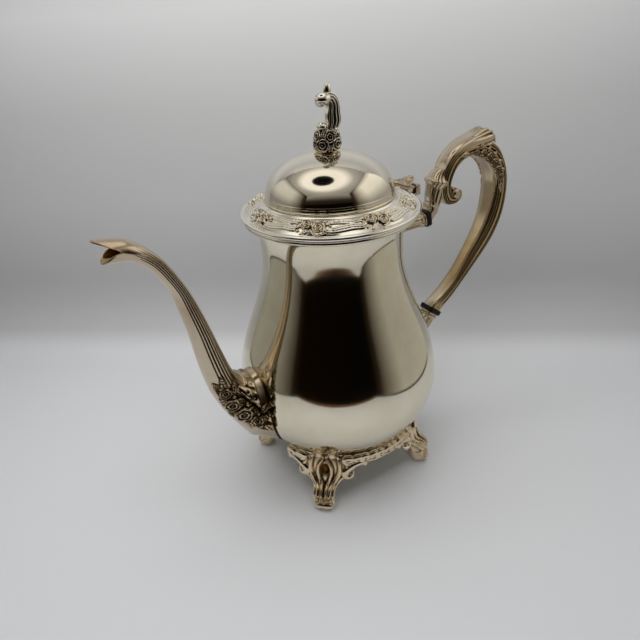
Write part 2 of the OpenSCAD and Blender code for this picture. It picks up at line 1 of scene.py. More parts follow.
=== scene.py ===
"""Finished look of a footed coffee pot in silver plate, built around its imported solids.

Each sub-assembly of the pot is a class that holds its sizes in millimetres, builds its pieces and
dresses them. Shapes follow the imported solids, with the chased and cast ornament added.
"""

from __future__ import annotations

import logging
import math
from dataclasses import dataclass, field
from enum import Enum
from typing import Callable, Sequence

import bpy
import numpy as np
from mathutils import Matrix, Vector


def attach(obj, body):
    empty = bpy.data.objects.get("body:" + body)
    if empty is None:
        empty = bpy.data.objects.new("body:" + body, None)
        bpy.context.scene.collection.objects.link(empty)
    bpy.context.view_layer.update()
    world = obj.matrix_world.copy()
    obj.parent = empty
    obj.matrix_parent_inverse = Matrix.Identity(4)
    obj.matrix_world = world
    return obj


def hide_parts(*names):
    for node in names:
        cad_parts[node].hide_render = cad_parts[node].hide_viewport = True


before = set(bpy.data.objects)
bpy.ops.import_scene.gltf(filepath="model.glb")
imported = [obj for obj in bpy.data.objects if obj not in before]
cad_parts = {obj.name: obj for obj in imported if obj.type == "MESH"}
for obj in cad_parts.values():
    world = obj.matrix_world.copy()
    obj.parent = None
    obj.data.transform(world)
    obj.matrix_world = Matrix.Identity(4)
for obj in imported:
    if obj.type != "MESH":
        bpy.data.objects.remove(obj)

log = logging.getLogger("coffee_pot")

MM = 0.001
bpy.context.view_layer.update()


class Body(Enum):
    """The two bodies that the lid hinge joins."""

    POT = "pot"
    LID = "lid"


# ---- Mesh tools ----


def deselect() -> None:
    """Leaves nothing selected, in object mode."""
    bpy.ops.object.select_all(action="DESELECT")


def pick(piece: bpy.types.Object) -> None:
    """Makes one piece the only selected and active one.

    Args:
        piece: The mesh object.
    """
    deselect()
    piece.select_set(True)
    bpy.context.view_layer.objects.active = piece


def read_points(piece: bpy.types.Object) -> np.ndarray:
    """Reads the corners of a piece.

    Args:
        piece: The mesh object.

    Returns:
        Rows of x, y, z in metres, in the mesh's order.
    """
    values = np.empty(len(piece.data.vertices) * 3)
    piece.data.vertices.foreach_get("co", values)
    return values.reshape(-1, 3)


def write_points(piece: bpy.types.Object, points: np.ndarray) -> None:
    """Moves the corners of a piece.

    Args:
        piece: The mesh object.
        points: New corners in metres, in the mesh's order.
    """
    piece.data.vertices.foreach_set("co", np.asarray(points, float).ravel())
    piece.data.update()


def write_tarnish_and_shade(piece: bpy.types.Object, values: np.ndarray) -> None:
    """Stores how dark each corner is painted, from 0 polished to 1 black: tarnish, and on the spout also painted shade
    under its bow.

    Args:
        piece: The mesh object.
        values: One number for each corner.
    """
    # the layer named tarnish also holds painted shade from the spout
    layer = piece.data.attributes.new("tarnish", "FLOAT", "POINT")
    layer.data.foreach_set("value", np.clip(values, 0, 1).astype(np.float32))


def close_up(piece: bpy.types.Object, fill: bool = False) -> None:
    """Merges doubled corners, closes open ends and turns the faces outwards.

    Args:
        piece: The mesh object.
        fill: Closes the open ends with a face.
    """
    pick(piece)
    bpy.ops.object.mode_set(mode="EDIT")
    bpy.ops.mesh.select_all(action="SELECT")
    bpy.ops.mesh.remove_doubles(threshold=2e-6)
    if fill:
        bpy.ops.mesh.select_all(action="DESELECT")
        bpy.ops.mesh.select_non_manifold(
            extend=False, use_wire=False, use_multi_face=False, use_non_contiguous=False, use_verts=False
        )
        bpy.ops.mesh.fill_holes(sides=0)
        bpy.ops.mesh.select_all(action="SELECT")
    bpy.ops.mesh.normals_make_consistent(inside=False)
    bpy.ops.object.mode_set(mode="OBJECT")


def smooth(piece: bpy.types.Object, degrees: float = 180) -> None:
    """Shades a piece smoothly, apart from edges sharper than an angle.

    Args:
        piece: The mesh object.
        degrees: Edges that turn more than this stay sharp.
    """
    pick(piece)
    if degrees >= 180:
        bpy.ops.object.shade_smooth()
    else:
        bpy.ops.object.shade_smooth_by_angle(angle=math.radians(degrees))


def join(name: str, pieces: Sequence[bpy.types.Object]) -> bpy.types.Object:
    """Joins pieces into one.

    Args:
        name: Name of the joined piece.
        pieces: The pieces, the first of which keeps its mesh.

    Returns:
        The joined piece.
    """
    deselect()
    for piece in pieces:
        piece.select_set(True)
    bpy.context.view_layer.objects.active = pieces[0]
    if len(pieces) > 1:
        bpy.ops.object.join()
    pieces[0].name = name
    return pieces[0]


def turned(name: str, outline: Sequence[tuple[float, float]], steps: int = 256) -> bpy.types.Object:
    """Closed ring spun round the pot's axis from a closed outline.

    Args:
        name: Name of the piece.
        outline: Radius and height of each corner, in mm.
        steps: Number of steps round the axis.

    Returns:
        The ring.
    """
    deselect()
    bpy.ops.mesh.primitive_circle_add(vertices=len(outline), radius=0.05)
    piece = bpy.context.object
    piece.name = name
    write_points(piece, np.array([(max(r, 0.001), 0, z) for r, z in outline]) * MM)
    pick(piece)
    bpy.ops.object.mode_set(mode="EDIT")
    bpy.ops.mesh.select_all(action="SELECT")
    bpy.ops.mesh.spin(steps=steps, angle=math.tau, center=(0, 0, 0), axis=(0, 0, 1))
    bpy.ops.object.mode_set(mode="OBJECT")
    close_up(piece)
    return piece


def ball(
    spot: tuple[float, float, float], size: tuple[float, float, float], segments: int, rings: int, lean: float = 0
) -> bpy.types.Object:
    """Round or egg-shaped bead.

    Args:
        spot: Its centre in mm.
        size: Half its width along x, y and z, in mm.
        segments: Number of faces round it.
        rings: Number of faces from pole to pole.
        lean: Degrees that its poles lean from upright, about x.

    Returns:
        The bead.
    """
    deselect()
    bpy.ops.mesh.primitive_uv_sphere_add(
        segments=segments,
        ring_count=rings,
        radius=MM,
        location=[value * MM for value in spot],
        rotation=(math.radians(lean), 0, 0),
    )
    piece = bpy.context.object
    bpy.ops.object.transform_apply(location=False, rotation=True, scale=False)
    piece.scale = size
    bpy.ops.object.transform_apply(location=True, rotation=True, scale=True)
    return piece


def merged_copy(node: str, name: str) -> bpy.types.Object:
    """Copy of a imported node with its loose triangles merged.

    Args:
        node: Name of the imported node.
        name: Name of the copy.

    Returns:
        The copy, which stands for the node.
    """
    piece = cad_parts[node].copy()
    piece.data = piece.data.copy()
    piece.name = name
    for key in list(piece.keys()):
        del piece[key]
    piece.parent = None
    bpy.context.scene.collection.objects.link(piece)
    piece.data.materials.clear()
    pick(piece)
    if piece.data.has_custom_normals:
        bpy.ops.mesh.customdata_custom_splitnormals_clear()
    close_up(piece)
    bpy.ops.object.mode_set(mode="EDIT")
    bpy.ops.mesh.select_all(action="SELECT")
    bpy.ops.mesh.tris_convert_to_quads()
    bpy.ops.object.mode_set(mode="OBJECT")
    return piece


def modify(piece: bpy.types.Object, kind: str, **settings: object) -> None:
    """Adds a modifier with its settings and applies it.

    Args:
        piece: The mesh object.
        kind: Type of the modifier.
        **settings: Values of the modifier's own properties.
    """
    pick(piece)
    modifier = piece.modifiers.new(kind.title(), kind)
    for key, value in settings.items():
        setattr(modifier, key, value)
    bpy.ops.object.modifier_apply(modifier=modifier.name)


# ---- Curves ----


def along(stations: np.ndarray, place: np.ndarray) -> np.ndarray:
    """Values of a station list on a smooth curve through its stations.

    Args:
        stations: One row for each station.
        place: Positions, from 0 at the first station to 1 at the last.

    Returns:
        One row for each position.
    """
    last = len(stations) - 1
    t = np.clip(place, 0, 1) * last
    i = np.minimum(t.astype(int), last - 1)
    f = (t - i)[:, None]
    a, b = stations[np.maximum(i - 1, 0)], stations[i]
    c, d = stations[i + 1], stations[np.minimum(i + 2, last)]
    return 0.5 * (2 * b + (c - a) * f + (2 * a - 5 * b + 4 * c - d) * f**2 + (3 * b - a - 3 * c + d) * f**3)


def bow(value: np.ndarray, power: float) -> np.ndarray:
    """Power of a number that keeps its sign."""
    return np.sign(value) * np.abs(value) ** power


def ramp(value: np.ndarray, low: float, high: float) -> np.ndarray:
    """Smooth rise from 0 at one value to 1 at another."""
    f = np.clip((value - low) / (high - low), 0, 1)
    return f * f * (3 - 2 * f)


def part(value: np.ndarray, start: float, length: float) -> np.ndarray:
    """Share of a stretch that is passed, from 0 to 1."""
    return np.clip((value - start) / length, 0, 1)


def bell(value: np.ndarray, middle: float, width: float) -> np.ndarray:
    """Soft ridge with a height of 1."""
    return np.exp(-(((value - middle) / width) ** 2))


def round_bar(value: np.ndarray, middle: float, width: float) -> np.ndarray:
    """Half-round ridge with a height of 1, and 0 beyond its width."""
    return np.sqrt(np.clip(1 - ((value - middle) / width) ** 2, 0, 1))


def edge_angle(share: np.ndarray) -> np.ndarray:
    """Degrees round a section from its first edge, from -180 to 180."""
    return ((share * 360 + 180) % 360) - 180


def side_angle(share: np.ndarray) -> np.ndarray:
    """Degrees round a section from the middle of a side, below 0 towards the first edge."""
    return np.abs(edge_angle(share)) - 90


# ---- Chased ornament, as heights over a flat drawing in mm ----


class Motif:
    """One figure of a drawing, as a height over a flat ground."""

    def height(self, x: np.ndarray, y: np.ndarray) -> np.ndarray:
        """Height of the figure at each place.

        Args:
            x: Places along the drawing, in mm.
            y: Places across the drawing, in mm.

        Returns:
            The height at each place in mm, 0 outside the figure.
        """
        raise NotImplementedError


@dataclass(frozen=True)
class Rose(Motif):
    """Open rose with two rings of five petals round a bud."""

    x: float
    y: float
    r: float
    turn: float = 0.0
    high: float = 1.0

    def height(self, x: np.ndarray, y: np.ndarray) -> np.ndarray:
        """Height of the rose, as Motif asks."""
        dx, dy = x - self.x, y - self.y
        angle = np.arctan2(dy, dx) + math.radians(self.turn)
        d = np.hypot(dx, dy) / self.r
        outer = d / (0.9 + 0.12 * np.abs(np.cos(2.5 * angle)))
        inner = d / (0.5 + 0.08 * np.abs(np.cos(2.5 * angle + 0.8)))
        ring = np.exp(-(((outer - 0.8) / 0.17) ** 2)) * (0.75 + 0.25 * np.abs(np.cos(2.5 * angle)) ** 0.5)
        heart = np.exp(-(((inner - 0.8) / 0.3) ** 2)) * 0.9
        bud = np.exp(-((d / 0.16) ** 2)) * 1.0
        bed = 0.35 * (1 - ramp(outer, 0.85, 1.02))
        return self.high * np.maximum.reduce([ring, heart, bud, bed]) * (1 - ramp(outer, 0.95, 1.08))


@dataclass(frozen=True)
class Leaf(Motif):
    """Pointed leaf with a sunk midrib and side veins."""

    x: float
    y: float
    length: float
    width: float
    angle: float
    high: float = 0.7

    def height(self, x: np.ndarray, y: np.ndarray) -> np.ndarray:
        """Height of the leaf, as Motif asks."""
        c, s = math.cos(math.radians(self.angle)), math.sin(math.radians(self.angle))
        along_it = ((x - self.x) * c + (y - self.y) * s) / self.length
        across = -(x - self.x) * s + (y - self.y) * c
        f = np.clip(along_it, 0, 1)
        half = self.width / 2 * np.sin(math.pi * f**0.7) ** 0.8 + 1e-4
        inside = np.clip(1 - (across / half) ** 2, 0, 1) * (along_it > 0) * (along_it < 1)
        rib = 1 - 0.45 * np.exp(-((across / (0.1 * self.width)) ** 2))
        veins = 1 + 0.13 * np.cos(math.tau * (4 * f - 0.9 * np.abs(across) / half))
        return self.high * inside**0.35 * rib * veins


@dataclass(frozen=True)
class Ribbon(Motif):
    """Reeded strap that follows a curve and narrows to its ends."""

    path: tuple[tuple[float, float], ...]
    width: float
    reeds: int = 2
    high: float = 0.6
    ends: float = 0.35

    def height(self, x: np.ndarray, y: np.ndarray) -> np.ndarray:
        """Height of the strap, as Motif asks."""
        line = along(np.array(self.path, float), np.linspace(0, 1, 12 * len(self.path)))
        best = np.full(x.shape, np.inf)
        share = np.zeros(x.shape)
        side = np.zeros(x.shape)
        for k in range(len(line) - 1):
            p, q = line[k], line[k + 1]
            step = q - p
            size = float(step @ step) + 1e-9
            f = np.clip(((x - p[0]) * step[0] + (y - p[1]) * step[1]) / size, 0, 1)
            dx, dy = x - p[0] - f * step[0], y - p[1] - f * step[1]
            d = dx * dx + dy * dy
            nearer = d < best
            best = np.where(nearer, d, best)
            share = np.where(nearer, (k + f) / (len(line) - 1), share)
            side = np.where(nearer, np.sign(step[0] * dy - step[1] * dx), side)
        half = self.width / 2 * (self.ends + (1 - self.ends) * np.sin(math.pi * share) ** 0.6)
        across = side * np.sqrt(best) / half
        body = np.clip(1 - across**2, 0, 1) ** 0.3
        reed = np.abs(np.cos(math.pi * self.reeds * (across + 1) / 2 + math.pi / 2)) ** 0.6
        return self.high * body * (0.35 + 0.65 * reed)


@dataclass(frozen=True)
class Bead(Motif):
    """Small round bead or berry."""

    x: float
    y: float
    r: float
    high: float = 0.7

    def height(self, x: np.ndarray, y: np.ndarray) -> np.ndarray:
        """Height of the bead, as Motif asks."""
        d = np.hypot(x - self.x, y - self.y) / self.r
        return self.high * np.sqrt(np.clip(1 - d * d, 0, 1))


@dataclass(frozen=True)
class Ground(Motif):
    """Low bed between two ends, matted with a fine punch so that the flowers stand out."""

    start: tuple[float, float]
    end: tuple[float, float]
    width: float
    high: float = 0.25
    pitch: float = 1.3

    def height(self, x: np.ndarray, y: np.ndarray) -> np.ndarray:
        """Height of the bed, as Motif asks."""
        step = np.array(self.end) - np.array(self.start)
        size = float(np.linalg.norm(step))
        f = ((x - self.start[0]) * step[0] + (y - self.start[1]) * step[1]) / size**2
        across = np.abs((x - self.start[0]) * step[1] - (y - self.start[1]) * step[0]) / size
        half = self.width / 2 * np.sin(math.pi * np.clip(f, 0, 1)) ** 0.6 + 1e-4
        inside = (1 - ramp(across / half, 0.85, 1.0)) * (f > 0) * (f < 1)
        punch = 0.5 + 0.5 * np.cos(math.tau * x / self.pitch) * np.cos(math.tau * y / self.pitch)
        return self.high * inside * (0.3 + 1.0 * punch)


def relief(motifs: Sequence[Motif], x: np.ndarray, y: np.ndarray) -> np.ndarray:
    """Height of a drawing made of motifs that lie over each other.

    Args:
        motifs: The motifs of the drawing.
        x: Places along the drawing, in mm.
        y: Places across the drawing, in mm.

    Returns:
        The height at each place, in mm.
    """
    return np.maximum.reduce([np.zeros(x.shape)] + [motif.height(x, y) for motif in motifs])


Shape = Callable[[np.ndarray, np.ndarray], np.ndarray]
Heights = Callable[[np.ndarray, np.ndarray, np.ndarray], np.ndarray]

# places round a corner, in steps of NEAR faces, that show how deep the corner lies
NEIGHBOURS = ((1, 0), (-1, 0), (0, 1), (0, -1), (0.7, 0.7), (-0.7, 0.7), (0.7, -0.7), (-0.7, -0.7))
NEAR = 1.6


@dataclass
class Casting:
    """Closed surface over a grid, raised and cut by an ornament.

    Its three functions take the share u round the section from 0 to 1 and the share v along it.
    The last two also take the plain places.

    Fields:
        name: Name of the piece.
        cols: Number of faces round the section.
        rows: Number of faces along it.
        base: Gives the plain places in mm.
        carve: Gives the height of the ornament in mm.
        ring: The rows end where they began, as on a hoop.
        depth: Depth in mm that is fully tarnished.
        capped: The open ends get a face.
        turn: -1 where the grid's own normals point inwards.
        stain_and_shade: Gives the least darkening, from 0 to 1: tarnish, and on the spout painted shade under its bow.
        clean: Tarnish that polishing takes off everywhere.
        step: Small share that the slope of the plain form is measured over.
    """

    name: str
    cols: int
    rows: int
    base: Shape
    carve: Heights | None = None
    ring: bool = False
    depth: float = 0.35
    capped: bool = True
    turn: float = 1.0
    stain_and_shade: Heights | None = None
    clean: float = 0.08
    step: float = 1e-4

    def _height(self, u: np.ndarray, v: np.ndarray) -> np.ndarray:
        """Height of the ornament at each share, in mm."""
        return self.carve(u % 1.0, v, self.base(u % 1.0, v))

    def build(self) -> bpy.types.Object:
        """Makes the grid, bends it to the form and raises the ornament.

        Returns:
            The finished piece.
        """
        deselect()
        bpy.ops.mesh.primitive_grid_add(x_subdivisions=self.cols, y_subdivisions=self.rows, size=1)
        piece = bpy.context.object
        piece.name = self.name
        flat = read_points(piece)
        u, v = flat[:, 0] + 0.5, flat[:, 1] + 0.5
        points = self.base(u % 1.0, v)
        tarnish = np.zeros(len(u))
        if self.carve is not None:
            low, high = np.clip(v - self.step, 0, 1), np.clip(v + self.step, 0, 1)
            run = self.base((u + self.step) % 1.0, v) - self.base((u - self.step) % 1.0, v)
            climb = self.base(u % 1.0, high) - self.base(u % 1.0, low)
            normal = np.cross(run, climb)
            size = np.linalg.norm(normal, axis=1, keepdims=True)
            normal = normal / np.maximum(size, 1e-12)
            height = self._height(u, v)
            du, dv = NEAR / self.cols, NEAR / self.rows
            near = [self._height(u + a * du, np.clip(v + b * dv, 0, 1)) for a, b in NEIGHBOURS]
            tarnish = (np.mean(near, axis=0) - height) / self.depth - self.clean
            # the piece's stain_and_shade adds its own darkening, which on the spout holds painted shade under the bow
            if self.stain_and_shade is not None:
                tarnish = np.maximum(tarnish, self.stain_and_shade(u % 1.0, v, points))
            points = points + self.turn * normal * height[:, None]
        write_points(piece, points * MM)
        write_tarnish_and_shade(piece, tarnish)
        close_up(piece, fill=self.capped and not self.ring)
        smooth(piece)
        return piece


def section(station: np.ndarray, angle: np.ndarray, power: float, inset: float = 0) -> np.ndarray:
    """Places on the section of a casting at given angles.

    Args:
        station: Rows of upper edge x and z, lower edge x and z, and half width.
        angle: Angle of each place round the section.
        power: 1 for an oval, less for a squarer section.
        inset: Distance inside the outer surface.

    Returns:
        Rows of x, y, z in mm.
    """
    middle = (station[:, 0:2] + station[:, 2:4]) / 2
    half = (station[:, 0:2] - station[:, 2:4]) / 2
    size = np.linalg.norm(half, axis=1)
    c = bow(np.cos(angle), power) * (1 - inset / size)
    y = bow(np.sin(angle), power) * (station[:, 4] - inset)
    return np.stack([middle[:, 0] + half[:, 0] * c, y, middle[:, 1] + half[:, 1] * c], axis=1)


# ---- Finishes ----


def linear(hex_colour: str) -> tuple[float, float, float, float]:
    """Linear colour of an sRGB hex value such as #e8e2d4."""
    parts = [int(hex_colour[k : k + 2], 16) / 255 for k in (1, 3, 5)]
    return tuple(c / 12.92 if c <= 0.04045 else ((c + 0.055) / 1.055) ** 2.4 for c in parts) + (1.0,)


def add_node(tree: bpy.types.NodeTree, kind: str, inputs: dict | None = None, **settings: object) -> bpy.types.Node:
    """Adds a node with its settings and links.

    Args:
        tree: The node tree.
        kind: Type of the node.
        inputs: Value or output socket for each input's name or number.
        **settings: Values of the node's own properties.

    Returns:
        The node.
    """
    node = tree.nodes.new(kind)
    for key, value in settings.items():
        setattr(node, key, value)
    for key, value in (inputs or {}).items():
        if isinstance(value, bpy.types.NodeSocket):
            tree.links.new(value, node.inputs[key])
        else:
            node.inputs[key].default_value = value
    return node


def blank_material(name: str) -> tuple[bpy.types.Material, bpy.types.NodeTree, bpy.types.Node]:
    """New material with an empty tree and its output.

    Args:
        name: Name of the material.

    Returns:
        The material, its node tree and its output node.
    """
    material = bpy.data.materials.new(name)
    material.use_nodes = True
    material.node_tree.nodes.clear()
    return material, material.node_tree, add_node(material.node_tree, "ShaderNodeOutputMaterial")


Stops = Sequence[tuple[float, str]]


def set_ramp(node: bpy.types.Node, stops: Stops) -> None:
    """Sets the colours of a ramp.

    Args:
        node: The colour ramp node.
        stops: Position and hex colour of each stop.
    """
    elements = node.color_ramp.elements
    while len(elements) > 1:
        elements.remove(elements[-1])
    elements[0].position, elements[0].color = stops[0][0], linear(stops[0][1])
    for position, colour in stops[1:]:
        elements.new(position).color = linear(colour)


@dataclass(frozen=True)
class SilverPlate:
    """Electroplated silver over brass, polished by hand.

    Silver reflects nearly all light with a faint warm tint. Handling leaves fine hairlines and a
    cloudy film, and sulphide tarnish goes from straw yellow to brown-black where a cloth can't
    reach.
    """

    name: str
    colour: str = "#e9e2ce"
    film: str = "#d4caac"
    straw: str = "#8f7548"
    black: str = "#140e07"
    roughness: float = 0.08
    film_amount: float = 0.5
    crevice: float = 0.6
    hairline: float = 0.05
    cast_bump: float = 0.0
    patch_mm: float = 20.0
    corner_mm: float = 1.6
    speck_scale: float = 420.0
    hairline_scale: tuple[float, float, float] = (900.0, 900.0, 60.0)
    skin_scale: float = 120.0

    def material(self) -> bpy.types.Material:
        """Builds the material.

        Returns:
            The material.
        """
        material, tree, output = blank_material(self.name)
        place = add_node(tree, "ShaderNodeTexCoord").outputs["Object"]
        # cloudy film in soft patches
        cloud = add_node(
            tree,
            "ShaderNodeTexNoise",
            {"Vector": place, "Scale": 1000 / self.patch_mm, "Detail": 4.0, "Roughness": 0.6},
        )
        film = add_node(tree, "ShaderNodeValToRGB", {"Fac": cloud.outputs["Fac"]})
        set_ramp(film, [(0.38, "#000000"), (0.72, "#ffffff")])
        share = add_node(
            tree, "ShaderNodeMath", {0: film.outputs["Color"], 1: self.film_amount}, operation="MULTIPLY"
        )
        metal = add_node(
            tree,
            "ShaderNodeMix",
            {"Factor": share.outputs[0], "A": linear(self.colour), "B": linear(self.film)},
            data_type="RGBA",
        )
        # tarnish where the ornament is cut and in small corners, with the other darkening that each piece stores; on
        # the spout this includes painted shade under its bow
        cut = add_node(tree, "ShaderNodeAttribute", attribute_name="tarnish")
        corner = add_node(
            tree, "ShaderNodeAmbientOcclusion", {"Distance": self.corner_mm * MM}, samples=4, only_local=True
        )
        closed = add_node(tree, "ShaderNodeMath", {0: 1.0, 1: corner.outputs["AO"]}, operation="SUBTRACT")
        closed = add_node(tree, "ShaderNodeMath", {0: closed.outputs[0], 1: self.crevice}, operation="MULTIPLY")
        tarnish_and_shade = add_node(tree, "ShaderNodeMath", {0: cut.outputs["Fac"], 1: closed.outputs[0]}, operation="ADD")
        speck = add_node(tree, "ShaderNodeTexNoise", {"Vector": place, "Scale": self.speck_scale, "Detail": 2.0})
        speck = add_node(tree, "ShaderNodeMath", {0: speck.outputs["Fac"], 1: 0.6, 2: 0.7}, operation="MULTIPLY_ADD")
        tarnish_and_shade = add_node(
            tree, "ShaderNodeMath", {0: tarnish_and_shade.outputs[0], 1: speck.outputs[0]}, operation="MULTIPLY", use_clamp=True
        )
        tint = add_node(tree, "ShaderNodeValToRGB", {"Fac": tarnish_and_shade.outputs[0]})
        set_ramp(tint, [(0.0, "#ffffff"), (0.15, "#efe4c8"), (0.4, self.straw), (0.8, self.black)])
        colour = add_node(
            tree,
            "ShaderNodeMix",
            {"Factor": 1.0, "A": metal.outputs["Result"], "B": tint.outputs["Color"]},
            data_type="RGBA",
            blend_type="MULTIPLY",
        )
        dull = add_node(
            tree, "ShaderNodeMath", {0: tarnish_and_shade.outputs[0], 1: 0.35, 2: self.roughness}, operation="MULTIPLY_ADD"
        )
        dull = add_node(
            tree, "ShaderNodeMath", {0: share.outputs[0], 1: 0.06, 2: dull.outputs[0]}, operation="MULTIPLY_ADD"
        )
        # polishing hairlines, drawn about 1 mm apart so that they show, and a softly uneven skin
        line = add_node(tree, "ShaderNodeMapping", {"Vector": place, "Scale": self.hairline_scale})
        line = add_node(tree, "ShaderNodeTexNoise", {"Vector": line.outputs[0], "Scale": 1.0, "Detail": 2.0})
        skin = add_node(tree, "ShaderNodeTexNoise", {"Vector": place, "Scale": self.skin_scale, "Detail": 1.0})
        bump = add_node(
            tree, "ShaderNodeBump", {"Height": line.outputs["Fac"], "Strength": self.hairline, "Distance": 0.00005}
        )
        bump = add_node(
            tree,
            "ShaderNodeBump",
            {
                "Height": skin.outputs["Fac"],
                "Strength": 0.15 + self.cast_bump,
                "Distance": 0.0001,
                "Normal": bump.outputs[0],
            },
        )
        shader = add_node(
            tree,
            "ShaderNodeBsdfPrincipled",
            {
                "Base Color": colour.outputs["Result"],
                "Metallic": 1.0,
                "Roughness": dull.outputs[0],
                "Normal": bump.outputs[0],
            },
        )
        tree.links.new(shader.outputs[0], output.inputs["Surface"])
        return material


@dataclass(frozen=True)
class BlackComposition:
    """Moulded black insulating composition, satin with a fine grain."""

    name: str = "black_moulded_composition"
    colour: str = "#070606"
    grain_colour: str = "#141211"
    grain_mm: float = 1 / 3
    roughness: float = 0.36
    specular: float = 0.16

    def material(self) -> bpy.types.Material:
        """Builds the material.

        Returns:
            The material.
        """
        material, tree, output = blank_material(self.name)
        place = add_node(tree, "ShaderNodeTexCoord").outputs["Object"]
        grain = add_node(
            tree, "ShaderNodeTexNoise", {"Vector": place, "Scale": 1000 / self.grain_mm, "Detail": 3.0}
        )
        colour = add_node(tree, "ShaderNodeValToRGB", {"Fac": grain.outputs["Fac"]})
        set_ramp(colour, [(0.3, self.colour), (0.8, self.grain_colour)])
        bump = add_node(tree, "ShaderNodeBump", {"Height": grain.outputs["Fac"], "Strength": 0.2, "Distance": 0.0001})
        shader = add_node(
            tree,
            "ShaderNodeBsdfPrincipled",
            {
                "Base Color": colour.outputs["Color"],
                "Roughness": self.roughness,
                "Normal": bump.outputs[0],
                "IOR": 1.5,
                "Specular IOR Level": self.specular,
            },
        )
        tree.links.new(shader.outputs[0], output.inputs["Surface"])
        return material


class Finish(Enum):
    """The finishes of the pot's pieces."""

    RAISED = SilverPlate("silver_plate_raised_and_polished")
    SPUN = SilverPlate("silver_plate_spun_and_polished", colour="#e7e0d2", film="#d6cebb", film_amount=0.4)
    STAMPED = SilverPlate(
        "silver_plate_die_stamped", "#f2eee6", "#e4dece", "#9c8c70", roughness=0.12, crevice=0.3, film_amount=0.2
    )
    CAST = SilverPlate(
        "silver_plate_cast_and_chased", colour="#cdbfaa", roughness=0.14, crevice=1.1, film="#a98f6d", cast_bump=0.1
    )
    WORN = SilverPlate(
        "silver_plate_cast_and_worn", colour="#eee0c6", roughness=0.2, crevice=0.6, film="#bc9a6c", straw="#8c6a44"
    )
    OXIDISED = SilverPlate(
        "silver_plate_cast_and_oxidised",
        colour="#ebe6dc",
        roughness=0.1,
        crevice=1.2,
        film="#cfc8b8",
        film_amount=0.25,
        straw="#6e6150",
    )
    PIN = SilverPlate("nickel_silver_pin", colour="#c9c2b2", roughness=0.25, crevice=0.5)
    INSULATOR = BlackComposition()


@dataclass
class Wardrobe:
    """Dresses pieces, and keeps each finish's material."""

    made: dict[Finish, bpy.types.Material] = field(default_factory=dict)

    def dress(
        self,
        piece: bpy.types.Object,
        finish: Finish,
        body: Body,
        nodes: Sequence[str] = (),
    ) -> None:
        """Gives a new piece its finish and ties it to its body.

        Args:
            piece: The finished piece.
            finish: Its finish.
            body: The body that it moves with.
            nodes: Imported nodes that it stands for.
        """
        piece.data.materials.clear()
        piece.data.materials.append(self.material(finish))
        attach(piece, body.value)
        if nodes:
            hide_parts(*nodes)
        log.info("%s: %d faces, on %s", piece.name, len(piece.data.polygons), body.value)

    def paint(self, node: str, finish: Finish) -> None:
        """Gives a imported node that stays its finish.

        Args:
            node: Name of the node.
            finish: Its finish.
        """
        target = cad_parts[node]
        target.data.materials.clear()
        target.data.materials.append(self.material(finish))
        log.info("%s keeps its packed shape", node)

    def material(self, finish: Finish) -> bpy.types.Material:
        """Material of a finish, made once."""
        if finish not in self.made:
            self.made[finish] = finish.value.material()
        return self.made[finish]


# ---- Body ----


